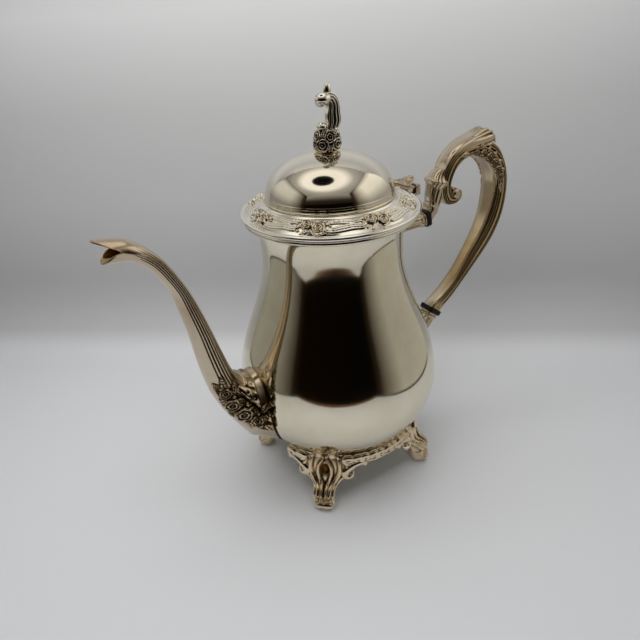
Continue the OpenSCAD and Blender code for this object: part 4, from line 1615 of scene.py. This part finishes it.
@dataclass
class Base:
    """Four cast leaf feet joined by a pierced scroll gallery. Sizes in mm."""

    body: PotBody
    toe_r: float = 58.0
    shank_w: float = 6.2
    fan_w: float = 16.5
    gallery_r: float = 51.0
    gallery_t: float = 2.6
    spout_gap: float = 26.0
    top_from: float = 0.94
    ornament_high: float = 1.2
    hollow_z: float = 28.0
    hollow_w: float = 2.5
    hollow_h: float = 4.6
    feet: tuple[tuple[str, float], ...] = (
        ("foot_front_left", -135),
        ("foot_front_right", -45),
        ("foot_back_right", 45),
        ("foot_back_left", 135),
    )
    beads: tuple[tuple[float, float], ...] = ((-6.6, 1.7), (-2.6, 1.5))
    stations: tuple[tuple[float, ...], ...] = (
        (0.6, 0, -3.4, 0, 0.55),
        (3.4, 2.0, -5.0, 1.4, 0.85),
        (4.6, 6.0, -6.6, 4.4, 1.0),
        (4.4, 12.0, -8.6, 8.6, 1.0),
        (1.8, 16.0, -9.8, 12.6, 1.0),
        (-1.6, 18.4, -10.6, 16.0, 1.1),
        (-3.2, 21.4, -10.8, 19.4, 1.35),
        (-4.0, 25.2, -11.0, 23.0, 1.84),
        (-4.6, 29.0, -11.4, 26.4, 2.0),
        (-5.6, 33.0, -11.8, 29.6, 1.8),
        (-6.6, 36.4, -12.0, 32.4, 1.4),
    )

    def foot(self, name: str, azimuth: float) -> bpy.types.Object:
        """One foot.

        Args:
            name: Name of the piece.
            azimuth: Its direction in degrees.

        Returns:
            The foot.
        """
        rows = np.array(self.stations)
        share = rows[:, 4]
        half = np.where(share < 1, self.shank_w * share, self.shank_w + (self.fan_w - self.shank_w) * (share - 1))
        rows = np.stack([self.toe_r + rows[:, 0], rows[:, 1], self.toe_r + rows[:, 2], rows[:, 3], half], axis=1)
        turn = math.radians(azimuth)
        motifs = self.leafage()

        def bent(flat: np.ndarray) -> np.ndarray:
            """Flat places bent round the gallery."""
            a = flat[:, 1] / self.gallery_r
            return np.stack([flat[:, 0] * np.cos(a), flat[:, 0] * np.sin(a), flat[:, 2]], axis=1)

        def base(u: np.ndarray, v: np.ndarray) -> np.ndarray:
            """Plain form."""
            angle = math.tau * u
            low = bent(section(along(rows, v / self.top_from), angle, 0.72))
            shut = part(v, self.top_from, 0.06)[:, None]
            middle = bent(np.array([[self.toe_r - 9.3, 0, 34.4]]))
            top = middle + (low - middle) * 0.9
            top[:, 2] = self.body.under(np.hypot(top[:, 0], top[:, 1]))
            point = low * (1 - shut) + top * shut
            c, s = math.cos(turn), math.sin(turn)
            return np.stack([point[:, 0] * c - point[:, 1] * s, point[:, 0] * s + point[:, 1] * c, point[:, 2]], 1)

        def across(u: np.ndarray, v: np.ndarray) -> np.ndarray:
            """Distance from the foot's middle line."""
            return bow(np.sin(math.tau * u), 0.72) * along(rows, v / self.top_from)[:, 4]

        def hollow(y: np.ndarray, z: np.ndarray, start: float, end: float) -> np.ndarray:
            """Share of the teardrop's depth."""
            return 1 - ramp(np.hypot(y / self.hollow_w, (z - self.hollow_z) / self.hollow_h), start, end)

        def carve(u: np.ndarray, v: np.ndarray, place: np.ndarray) -> np.ndarray:
            """Height of the ornament."""
            y, z = across(u, v), place[:, 2]
            front = ramp(np.cos(math.tau * u), -0.25, 0.1)
            ground = -0.5 - 0.5 * ramp(z, 6, 8)
            drawn = self.ornament_high * relief(motifs, y, z) - 2.2 * hollow(y, z, 0.7, 1.1) + ground
            return drawn * front * (1 - ramp(v, 0.975, 0.995))

        def stain_and_shade(u: np.ndarray, v: np.ndarray, place: np.ndarray) -> np.ndarray:
            """Least darkening: a little everywhere, and more in the teardrop hollow on the front."""
            return 0.03 + 0.5 * hollow(across(u, v), place[:, 2], 0.6, 1.0) * (np.cos(math.tau * u) > 0)

        return Casting(name, 240, 230, base, carve, depth=1.2, stain_and_shade=stain_and_shade).build()

    def leafage(self) -> list[Motif]:
        """Ornament of a foot, drawn as y round the body and z.

        Returns:
            Its motifs.
        """
        fan: list[Motif] = []
        for s in (-1, 1):
            rim = ((s * 1.0, 13), (s * 1.5, 17), (s * 3.2, 22.4), (s * 4.3, 27), (s * 3.6, 32), (s * 1.2, 36))
            outer = ((s * 2.9, 13), (s * 3.6, 17), (s * 6.6, 21.4), (s * 9.0, 26), (s * 9.4, 31), (s * 8.0, 40))
            wing = ((s * 4.8, 13), (s * 5.4, 16.4), (s * 8.8, 20.2), (s * 12.6, 23.4), (s * 14.4, 28.6), (s * 12.4, 39))
            fan.append(Ribbon(rim, 3.0, 1, 2.3, 0.6))
            fan.append(Ribbon(outer, 3.6, 1, 2.2, 0.6))
            fan.append(Ribbon(wing, 3.4, 1, 2.1, 0.6))
            fan.append(Ribbon(((s * 5.4, 6.4), (s * 5.6, 9), (s * 4.9, 12.8)), 1.5, 1, 0.9, 0.5))
            fan.append(Leaf(s * 3.2, 8.4, 4.4, 2.6, 90 - s * 40, 0.9))
            fan.append(Bead(s * 2.4, 12.4, 1.1, 0.9))
        fan += [
            Leaf(0, 36.6, 7.0, 5.6, 90, 2.2),
            Rose(0, 10.0, 2.6, 10, 1.2),
            Ribbon(((-3.4, 5.0), (0, 5.4), (3.4, 5.0)), 6.0, 1, 1.5, 0.7),
        ]
        return fan

    def strap(
        self, name: str, path: Sequence[tuple[float, float]], radius: float, azimuth: float, out: float = 0.2
    ) -> bpy.types.Object:
        """Round wire scroll that lies in the gallery.

        Args:
            name: Name of the piece.
            path: Places along it, as mm round the gallery and height.
            radius: Radius of its middle.
            azimuth: Direction of the path's zero in degrees.
            out: How far it stands out from the gallery's middle.

        Returns:
            The scroll.
        """
        line = np.array(path, float)
        ring_r = self.gallery_r - self.gallery_t / 2 + out

        def base(u: np.ndarray, v: np.ndarray) -> np.ndarray:
            """Plain form."""
            middle = along(line, v)
            step = along(line, np.clip(v + 0.01, 0, 1)) - along(line, np.clip(v - 0.01, 0, 1))
            step = step / np.maximum(np.linalg.norm(step, axis=1, keepdims=True), 1e-9)
            size = radius * (0.45 + 0.55 * np.sin(math.pi * np.clip(v, 0.02, 0.98)) ** 0.7)
            a = math.tau * u
            y = middle[:, 0] - step[:, 1] * size * np.cos(a)
            z = middle[:, 1] + step[:, 0] * size * np.cos(a)
            r = ring_r + size * 1.1 * np.sin(a)
            w = y / self.gallery_r + math.radians(azimuth)
            return np.stack([r * np.cos(w), r * np.sin(w), z], axis=1)

        return Casting(name, 28, 150, base, None).build()

    def volutes(self, name: str, azimuth: float) -> bpy.types.Object:
        """C-scrolls that spring from a foot's shoulders to the gallery.

        Args:
            name: Name of the piece.
            azimuth: Direction of the foot in degrees.

        Returns:
            The pair of scrolls.
        """
        parts = []
        for s in (-1, 1):
            path = []
            for k in range(9, -1, -1):
                size, a = 1 - k / 12, 1.2 - k * 0.6
                path.append((s * (15.2 - 3.6 * size * math.cos(a)), 24.2 + 3.4 * size * math.sin(a)))
            path += [(s * 16.5, 29.6), (s * 19.2, 31.4), (s * 22.6, 32.2), (s * 25.4, 31.2), (s * 26.2, 29.2)]
            parts.append(self.strap(f"{name}_{s}", path, 2.9, azimuth, 1.4))
            leaf = [(s * 12.4, 33.2), (s * 15.2, 34.0), (s * 18.6, 35.4), (s * 22.4, 36.0)]
            parts.append(self.strap(f"{name}_leaf_{s}", leaf, 2.2, azimuth, 0.8))
        piece = join(name, parts)
        smooth(piece)
        return piece

    def gallery(self, name: str, azimuth: float, gap: float = 0) -> bpy.types.Object:
        """One length of gallery: a rail under the body with scrolls, loops and beads on it.

        Args:
            name: Name of the piece.
            azimuth: Direction of its middle in degrees.
            gap: Length left open in its middle.

        Returns:
            The gallery.
        """
        half = math.radians(45) * self.gallery_r - 4
        top = float(self.body.under(self.gallery_r - 1.0))
        parts = []
        spans = [(-half, half)] if gap == 0 else [(-half, -gap / 2), (gap / 2, half)]
        for number, (start, end) in enumerate(spans):
            rail = [(start + (end - start) * k / 8, top - 1.3) for k in range(9)]
            parts.append(self.strap(f"{name}_rail_{number}", rail, 1.8, azimuth, -0.9))
            lower = [(x, z - 2.4) for x, z in rail]
            parts.append(self.strap(f"{name}_bar_{number}", lower, 1.4, azimuth, -1.1))
            reach = end - start - 18 if gap == 0 else end - start - 9
            start += 0 if start > 0 and gap else 9
            count = max(1, round(reach / 11))
            for k in range(count):
                x = start + reach * (k + 0.5) / count
                for s in (-1, 1):
                    curl = []
                    for j in range(15):
                        r, a = 4.1 * (1 - j / 17), 0.9 + j * 0.55
                        curl.append((x + s * (2.9 - r * math.cos(a)), top - 4.2 - r * math.sin(a) * 0.8))
                    parts.append(self.strap(f"{name}_curl_{number}_{k}_{s}", curl, 2.2, azimuth, 1.5))
                ring_r = self.gallery_r - self.gallery_t / 2 + 1.5
                between = (reach / count / 2 - 0.4, -3.6, 1.8)
                for dx, dz, r in [(0.0, z, size) for z, size in self.beads] + [between]:
                    w = math.radians(azimuth) + (x + dx) / self.gallery_r
                    parts.append(ball((ring_r * math.cos(w), ring_r * math.sin(w), top + dz), (r, r, r), 20, 12))
        piece = join(name, parts)
        smooth(piece)
        return piece

    def build(self, wardrobe: Wardrobe) -> None:
        """Builds and dresses the feet and the gallery.

        Args:
            wardrobe: Gives the pieces their finishes.
        """
        for node, azimuth in self.feet:
            wardrobe.dress(self.foot(node + "_cast", azimuth), Finish.WORN, Body.POT, [node])
            wardrobe.dress(self.volutes(node + "_volutes", azimuth), Finish.WORN, Body.POT)
        for node, azimuth, gap in (
            ("gallery_front", -90, 0),
            ("gallery_right", 0, 0),
            ("gallery_back", 90, 0),
            ("gallery_left", 180, self.spout_gap),
        ):
            piece = self.gallery(node + "_scrolls", azimuth, gap)
            wardrobe.dress(piece, Finish.WORN, Body.POT, [node])


# ---- Finial and hinge ----


@dataclass
class Finial:
    """Cast finial: a bunch of blossoms with a curled stem. Sizes in mm."""

    z: float = 221.8
    bunch_h: float = 11.0
    roses: int = 5
    rose_pitch: float = 8.28
    stem_h: float = 20.0
    stem_flutes: tuple[float, ...] = (-44, -15, 14, 43)
    stations: tuple[tuple[float, ...], ...] = (
        (-2.0, -1.0, 5.5, -1.0, 3.4),
        (-0.4, 0.18, 9.2, 0.16, 3.8),
        (-0.4, 0.40, 9.0, 0.46, 3.8),
        (0.6, 0.58, 8.2, 0.72, 3.6),
        (0.4, 0.68, 5.6, 0.92, 3.4),
        (-0.8, 0.66, 1.6, 1.00, 3.4),
        (-2.8, 0.60, -3.0, 0.98, 3.4),
        (-4.6, 0.62, -5.8, 0.84, 2.6),
    )

    def bunch(self) -> bpy.types.Object:
        """Bunch of blossoms round a short cone.

        Returns:
            The bunch.
        """
        motifs: list[Motif] = []
        for k in range(-1, self.roses + 2):
            x = self.rose_pitch * k
            motifs.append(Rose(x, 3.6, 3.7, 20 * k, 2.2))
            motifs.append(Rose(x + 4.1, 7.6, 3.3, 33 * k, 2.1))
            motifs.append(Leaf(x + 4.1, 3.8, 4.8, 3.4, -90, 1.4))
            motifs.append(Leaf(x, 7.2, 4.0, 2.8, 90, 1.4))
        path = np.array(
            [(0.2, 0.0), (4.6, 0.0), (6.0, 0.6), (6.2, 3.4), (5.8, 7.0), (4.8, 9.6), (3.2, 10.8), (0.2, 11.2)]
        )

        def base(u: np.ndarray, v: np.ndarray) -> np.ndarray:
            """Plain form."""
            at = along(path, v)
            return np.stack(
                [at[:, 0] * np.cos(math.tau * u), at[:, 0] * np.sin(math.tau * u), self.z + at[:, 1]], axis=1
            )

        def carve(u: np.ndarray, v: np.ndarray, place: np.ndarray) -> np.ndarray:
            """Height of the ornament."""
            x = (u % 1.0) * self.rose_pitch * self.roses
            high = np.clip(np.hypot(place[:, 0], place[:, 1]) / 3 - 0.4, 0, 1)
            return relief(motifs, x, place[:, 2] - self.z) * high

        return Casting("finial_blossoms", 300, 120, base, carve, depth=0.6).build()

    def stem(self) -> bpy.types.Object:
        """Curled stem.

        Returns:
            The stem.
        """
        rows = np.array(self.stations)
        top = self.z + self.bunch_h
        for column in (1, 3):
            rows[:, column] = top + np.maximum(rows[:, column], -0.1) * self.stem_h

        def base(u: np.ndarray, v: np.ndarray) -> np.ndarray:
            """Plain form."""
            return section(along(rows, v), math.tau * u, 1)

        def carve(u: np.ndarray, v: np.ndarray, place: np.ndarray) -> np.ndarray:
            """Height of the ornament."""
            side = side_angle(u)
            flutes = np.zeros(len(u))
            for centre in self.stem_flutes:
                flutes -= 0.95 * bell(side, centre, 6.0)
            return flutes * ramp(v, 0.02, 0.1) * (1 - ramp(v, 0.85, 0.97))

        return Casting("finial_stem", 96, 200, base, carve, depth=0.4, turn=-1).build()

    def buds(self) -> bpy.types.Object:
        """Smooth bud, upright tip and scroll eye.

        Returns:
            The three as one piece.
        """
        top = self.z + self.bunch_h
        bud = ball((-1.6, 0, top + 16.4), (4.9, 4.4, 3.6), 48, 28)
        eye = ball((-3.4, 0, top + 2), (2.7, 3.8, 2.7), 48, 28)
        tip = ball((1.6, 0, top + 20.6), (2.3, 1.9, 3.9), 48, 28)
        piece = join("finial_buds", [bud, eye, tip])
        smooth(piece)
        return piece

    def build(self, wardrobe: Wardrobe) -> None:
        """Builds and dresses the finial.

        Args:
            wardrobe: Gives the pieces their finishes.
        """
        wardrobe.dress(self.bunch(), Finish.OXIDISED, Body.LID, ["finial"])
        wardrobe.dress(self.stem(), Finish.OXIDISED, Body.LID)
        wardrobe.dress(self.buds(), Finish.OXIDISED, Body.LID)
        wardrobe.paint("finial_washer", Finish.RAISED)
        wardrobe.paint("finial_nut", Finish.PIN)


@dataclass
class Hinge:
    """Hinge leaves and pin. Sizes in mm."""

    leaves: tuple[tuple[str, Body, str], ...] = (
        ("body_hinge_leaf", Body.POT, "silver_plate"),
        ("lid_hinge_leaf", Body.LID, "hinge_silver"),
    )
    leaf: tuple[tuple[float, ...], ...] = (
        (42.6, 195.9, 42.9, 194.9, 2.4),
        (46.0, 195.0, 45.8, 193.6, 6.6),
        (50.0, 193.5, 49.6, 191.9, 8.6),
        (54.0, 192.5, 53.8, 190.9, 8.4),
        (57.6, 192.6, 57.6, 191.1, 6.6),
        (60.8, 193.6, 61.0, 192.2, 4.0),
        (63.4, 194.9, 63.6, 194.0, 1.2),
    )

    def thumb_leaf(self) -> bpy.types.Object:
        """Chased leaf that covers the hinge plate and ends in a small lift.

        Returns:
            The leaf.
        """
        rows = np.array(self.leaf)

        def base(u: np.ndarray, v: np.ndarray) -> np.ndarray:
            """Plain form."""
            return section(along(rows, v), math.tau * u, 1)

        def carve(u: np.ndarray, v: np.ndarray, place: np.ndarray) -> np.ndarray:
            """Height of the ornament."""
            y = np.abs(place[:, 1])
            half = along(rows, v)[:, 4]
            rib = -0.7 * bell(y, 0, 0.7)
            veins = 0.45 * np.cos(math.tau * (place[:, 0] / 3.2 - y / 4.5)) * ramp(y, 0.5, 1.6)
            return (rib + veins + 0.2) * (1 - ramp(y / half, 0.8, 1)) * (np.cos(math.tau * u) > 0)

        return Casting("lid_thumb_leaf", 96, 120, base, carve, depth=0.5, turn=-1).build()

    def build(self, wardrobe: Wardrobe) -> None:
        """Builds and dresses the hinge.

        Args:
            wardrobe: Gives the pieces their finishes.
        """
        for node, body, slot in self.leaves:
            piece = merged_copy(node, node + "_cast")
            modify(piece, "BEVEL", width=0.25 * MM, segments=2, limit_method="ANGLE", angle_limit=math.radians(40))
            smooth(piece, 35)
            wardrobe.dress(piece, Finish.CAST, body, [node])
        wardrobe.dress(self.thumb_leaf(), Finish.CAST, Body.LID)
        wardrobe.paint("hinge_pin", Finish.PIN)


# ---- Studio ----


@dataclass
class Studio:
    """Light tent round the pot: pale walls, a dark front opening and soft lights. Sizes in mm."""

    sight: Vector = field(default_factory=lambda: Vector((0.5131, 0.8583, 0)))
    across: Vector = field(default_factory=lambda: Vector((0.8583, -0.5131, 0)))
    front: float = -350
    back: float = 320
    left: float = -335
    right: float = 255
    low: float = -3
    roof: float = 520
    opening_top: float = 310
    seam: float = 9
    sill: float = 14
    sweep_start: float = 118
    sweep_slant: float = 180
    sweep_run: float = 1800
    sweep_arc: float = 94
    sweep_r: float = 60
    sweep_half: float = 1500
    shade_top: float = 625
    world_colour: str = "#dcdcdc"
    world_strength: float = 0.1
    # painted shade of the floor: the paper's colour by height, darker at the bend and at the top of the sweep
    paper: Stops = (
        (0.005, "#dcdddf"),
        (0.022, "#c2c2c3"),
        (0.06, "#bcbcbd"),
        (0.22, "#cccccd"),
        (0.35, "#cecece"),
        (0.47, "#dedede"),
        (0.62, "#b0b0b0"),
    )
    # light of the side cards, with painted shade: dark brown near the front opening, pale further back
    wall: Stops = (
        (0.0, "#1a120c"),
        (0.09, "#33291f"),
        (0.2, "#8a8378"),
        (0.36, "#cfcbc0"),
        (0.7, "#d8d5cb"),
        (1.0, "#bdbab2"),
    )
    wall_rise: Stops = (
        (0.0, "#acacac"),
        (0.4, "#a0a0a0"),
        (0.62, "#f4f4f4"),
        (0.85, "#ffffff"),
        (0.975, "#b0b0b0"),
        (1.0, "#303030"),
    )
    opening: Stops = ((0.0, "#7a5a30"), (0.06, "#6b4a20"), (0.5, "#54402a"), (0.94, "#4e4438"), (1.0, "#5f5038"))
    opening_rise: Stops = (
        (0.0, "#9a8a78"),
        (0.05, "#404040"),
        (0.12, "#2c2c2c"),
        (0.9, "#2c2c2c"),
        (0.96, "#606060"),
        (1.0, "#c0c0c0"),
    )
    glow: Stops = (
        (0.0, "#040404"),
        (0.108, "#040404"),
        (0.124, "#fffaf0"),
        (0.23, "#fffaf2"),
        (0.34, "#aaa79f"),
        (0.5, "#8a8780"),
        (1.0, "#7c7a74"),
    )

    def card_material(self, name: str, stops: Stops, climb: Stops, strength: float, ring: bool) -> bpy.types.Material:
        """Material of a card, which sends out its own light.

        Args:
            name: Name of the material.
            stops: Colours along the card's first side, or outwards from its centre.
            climb: Colours along its other side, which multiply the first.
            strength: Strength of the light.
            ring: The colours run outwards from the centre.

        Returns:
            The material.
        """
        material, tree, output = blank_material(name)
        uv = add_node(tree, "ShaderNodeUVMap", uv_map="UVMap").outputs[0]
        sides = add_node(tree, "ShaderNodeSeparateXYZ", {0: uv})
        share = sides.outputs["X"]
        if ring:
            uv = add_node(tree, "ShaderNodeVectorMath", {0: uv, 1: (0.5, 0.5, 0.0)}, operation="SUBTRACT").outputs[0]
            share = add_node(tree, "ShaderNodeVectorMath", {0: uv}, operation="LENGTH").outputs["Value"]
        colour = add_node(tree, "ShaderNodeValToRGB", {"Fac": share})
        set_ramp(colour, stops)
        rise = add_node(tree, "ShaderNodeValToRGB", {"Fac": sides.outputs["Y"]})
        set_ramp(rise, climb)
        both = add_node(
            tree,
            "ShaderNodeMix",
            {"Factor": 1.0, "A": colour.outputs["Color"], "B": rise.outputs["Color"]},
            data_type="RGBA",
            blend_type="MULTIPLY",
        )
        shader = add_node(tree, "ShaderNodeEmission", {"Color": both.outputs["Result"], "Strength": strength})
        tree.links.new(shader.outputs[0], output.inputs["Surface"])
        return material

    def place(self, ahead: float, aside: float, high: float) -> Vector:
        """Place in metres from distances away from the camera, to its right and up."""
        spot = self.sight * ahead + self.across * aside
        return Vector((spot.x, spot.y, high)) * MM

    def card(
        self,
        name: str,
        corners: Sequence[tuple[float, float, float]],
        stops: Stops,
        strength: float = 1.0,
        ring: bool = False,
        climb: Stops = ((0.0, "#ffffff"),),
    ) -> None:
        """Card that only reflections see.

        Args:
            name: Name of the card.
            corners: Four corners in turn, as distances ahead, aside and up.
            stops: Colours from the first corner towards the second, or outwards from the centre.
            strength: Strength of its light.
            ring: The colours run outwards from the centre.
            climb: Colours from the first corner towards the fourth, which multiply the others.
        """
        deselect()
        bpy.ops.mesh.primitive_plane_add(size=1)
        piece = bpy.context.object
        piece.name = name
        write_points(piece, np.array([tuple(self.place(*corners[k])) for k in (0, 1, 3, 2)]))
        piece.data.materials.append(self.card_material(name, stops, climb, strength, ring))
        piece.visible_camera = piece.visible_diffuse = piece.visible_shadow = False

    def paper_material(self) -> bpy.types.Material:
        """Material of the floor: matt white paper with a faint tooth, shaded by height as in a tent.

        Returns:
            The material.
        """
        material, tree, output = blank_material("seamless_paper")
        place = add_node(tree, "ShaderNodeTexCoord").outputs["Object"]
        grain = add_node(tree, "ShaderNodeTexNoise", {"Vector": place, "Scale": 900.0, "Detail": 2.0})
        bump = add_node(tree, "ShaderNodeBump", {"Height": grain.outputs["Fac"], "Strength": 0.05, "Distance": 0.0002})
        height = add_node(tree, "ShaderNodeSeparateXYZ", {0: place}).outputs["Z"]
        share = add_node(tree, "ShaderNodeMath", {0: height, 1: 1000 / self.shade_top}, operation="MULTIPLY")
        shade = add_node(tree, "ShaderNodeValToRGB", {"Fac": share.outputs[0]})
        set_ramp(shade, self.paper)
        front = add_node(
            tree,
            "ShaderNodeBsdfPrincipled",
            {"Base Color": shade.outputs["Color"], "Roughness": 0.85, "Normal": bump.outputs[0]},
        )
        tree.links.new(front.outputs[0], output.inputs["Surface"])
        return material

    def floor(self) -> None:
        """Pale seamless floor that curves up behind the pot."""
        deselect()
        bpy.ops.mesh.primitive_grid_add(x_subdivisions=4, y_subdivisions=200, size=2)
        piece = bpy.context.object
        piece.name = "studio_floor"
        rows = []
        for x, y, _ in read_points(piece):
            # rows are close together near the bend
            run = self.sweep_run * y**3
            arc = max(0.0, min(1.0, run / self.sweep_arc)) * math.pi / 2
            start = self.sweep_start - self.sweep_slant * x
            ahead = start + min(run, 0.0) + self.sweep_r * math.sin(arc)
            high = self.sweep_r * (1 - math.cos(arc)) + max(0.0, run - self.sweep_arc)
            rows.append(tuple(self.place(ahead, x * self.sweep_half, high)))
        write_points(piece, np.array(rows))
        smooth(piece)
        piece.data.materials.append(self.paper_material())

    def light(
        self, name: str, spot: tuple[float, float, float], size: tuple[float, float], watts: float, seen: bool
    ) -> None:
        """Soft rectangular light aimed at the pot.

        Args:
            name: Name of the light.
            spot: Distances ahead, aside and up in mm.
            size: Its two sides in mm.
            watts: Its power.
            seen: Whether reflections see it.
        """
        at = self.place(*spot)
        deselect()
        bpy.ops.object.light_add(type="AREA", location=at)
        lamp = bpy.context.object
        lamp.name = name
        lamp.data.shape = "RECTANGLE"
        lamp.data.size, lamp.data.size_y = size[0] * MM, size[1] * MM
        lamp.data.energy = watts
        lamp.rotation_euler = (Vector((0, 0, 0.1)) - at).to_track_quat("-Z", "Y").to_euler()
        lamp.visible_glossy = seen

    def tent(self) -> None:
        """Cards that stand for the tent's walls, opening and roof in the pot's reflections."""
        front, back, left, right, low, roof = self.front, self.back, self.left, self.right, self.low, self.roof
        top = self.opening_top
        for name, aside, strength in (("left", left, 1.05), ("right", right, 1.5)):
            sheet = [(front, aside, low), (back, aside, low), (back, aside, roof), (front, aside, roof)]
            self.card(f"side_panel_{name}", sheet, self.wall, strength, climb=self.wall_rise)
            inner = aside * 0.997
            seam = [(front, inner, -2), (back, inner, -2), (back, inner, self.seam), (front, inner, self.seam)]
            self.card(f"seam_{name}", seam, [(0.0, "#35302a")])
        sheet = [(front, left, low), (front, right, low), (front, right, top), (front, left, top)]
        self.card("opening", sheet, self.opening, climb=self.opening_rise)
        near = front + 4
        edge = [(near, left, low), (near, right, low), (near, right, self.sill), (near, left, self.sill)]
        self.card("opening_sill", edge, [(0.0, "#4a3018"), (0.5, "#5a3d20"), (1.0, "#3c2712")])
        sheet = [(front, left, top), (front, left, roof), (front, right, roof), (front, right, top)]
        self.card("front_panel_above", sheet, [(0.0, "#17110b"), (0.3, "#38322b"), (1.0, "#a29e95")])
        sheet = [(back, left, 60), (back, right, 60), (back, right, roof), (back, left, roof)]
        self.card("back_panel", sheet, [(0.0, "#8c8b87"), (0.5, "#989792"), (1.0, "#8c8b87")])
        # the dark middle of the roof's lamp ring lies nearly over the pot
        sheet = [(-395, -385, roof), (-395, 295, roof), (285, 295, roof), (285, -385, roof)]
        self.card("roof_panel", sheet, self.glow, 1.1, ring=True)

    def build(self) -> None:
        """Sets up the floor, the cards, the lights and the world."""
        self.floor()
        self.tent()
        self.light("roof_light", (-20, -30, 515), (560, 560), 2.5, False)
        self.light("left_light", (-420, -420, 420), (300, 300), 0.35, False)
        self.light("front_light", (-520, 120, 480), (300, 300), 0.35, False)
        world = bpy.data.worlds.new("studio_world")
        world.use_nodes = True
        tree = world.node_tree
        tree.nodes.clear()
        sky = add_node(
            tree, "ShaderNodeBackground", {"Color": linear(self.world_colour), "Strength": self.world_strength}
        )
        out = add_node(tree, "ShaderNodeOutputWorld")
        tree.links.new(sky.outputs[0], out.inputs["Surface"])
        bpy.context.scene.world = world


@dataclass
class Camera:
    """The main view."""

    spot: tuple[float, float, float] = (-0.18394, -0.28786, 0.29983)
    right: tuple[float, float, float] = (0.84170, -0.53733, -0.05314)
    up: tuple[float, float, float] = (0.29969, 0.38303, 0.87377)
    forward: tuple[float, float, float] = (0.44915, 0.75138, -0.48342)
    lens: float = 33.3

    def build(self) -> None:
        """Adds the camera and makes it the scene's own."""
        data = bpy.data.cameras.new("main_camera")
        data.lens, data.sensor_width = self.lens, 36.0
        data.clip_start = 0.01
        camera = bpy.data.objects.new("main_camera", data)
        bpy.context.scene.collection.objects.link(camera)
        turn = Matrix([self.right, self.up, [-f for f in self.forward]]).transposed().to_4x4()
        camera.matrix_world = Matrix.Translation(self.spot) @ turn
        bpy.context.scene.camera = camera


def main() -> None:
    """Builds the whole pot, its studio and the camera."""
    logging.basicConfig(level=logging.INFO, format="%(message)s")
    wardrobe = Wardrobe()
    body = PotBody()
    for assembly in (body, Spout(body), Lid(), Finial(), Hinge(), Handle(body), Base(body)):
        assembly.build(wardrobe)
    Studio().build()
    Camera().build()
    bpy.context.scene.view_settings.view_transform = "Standard"


if __name__ == "__main__":
    main()
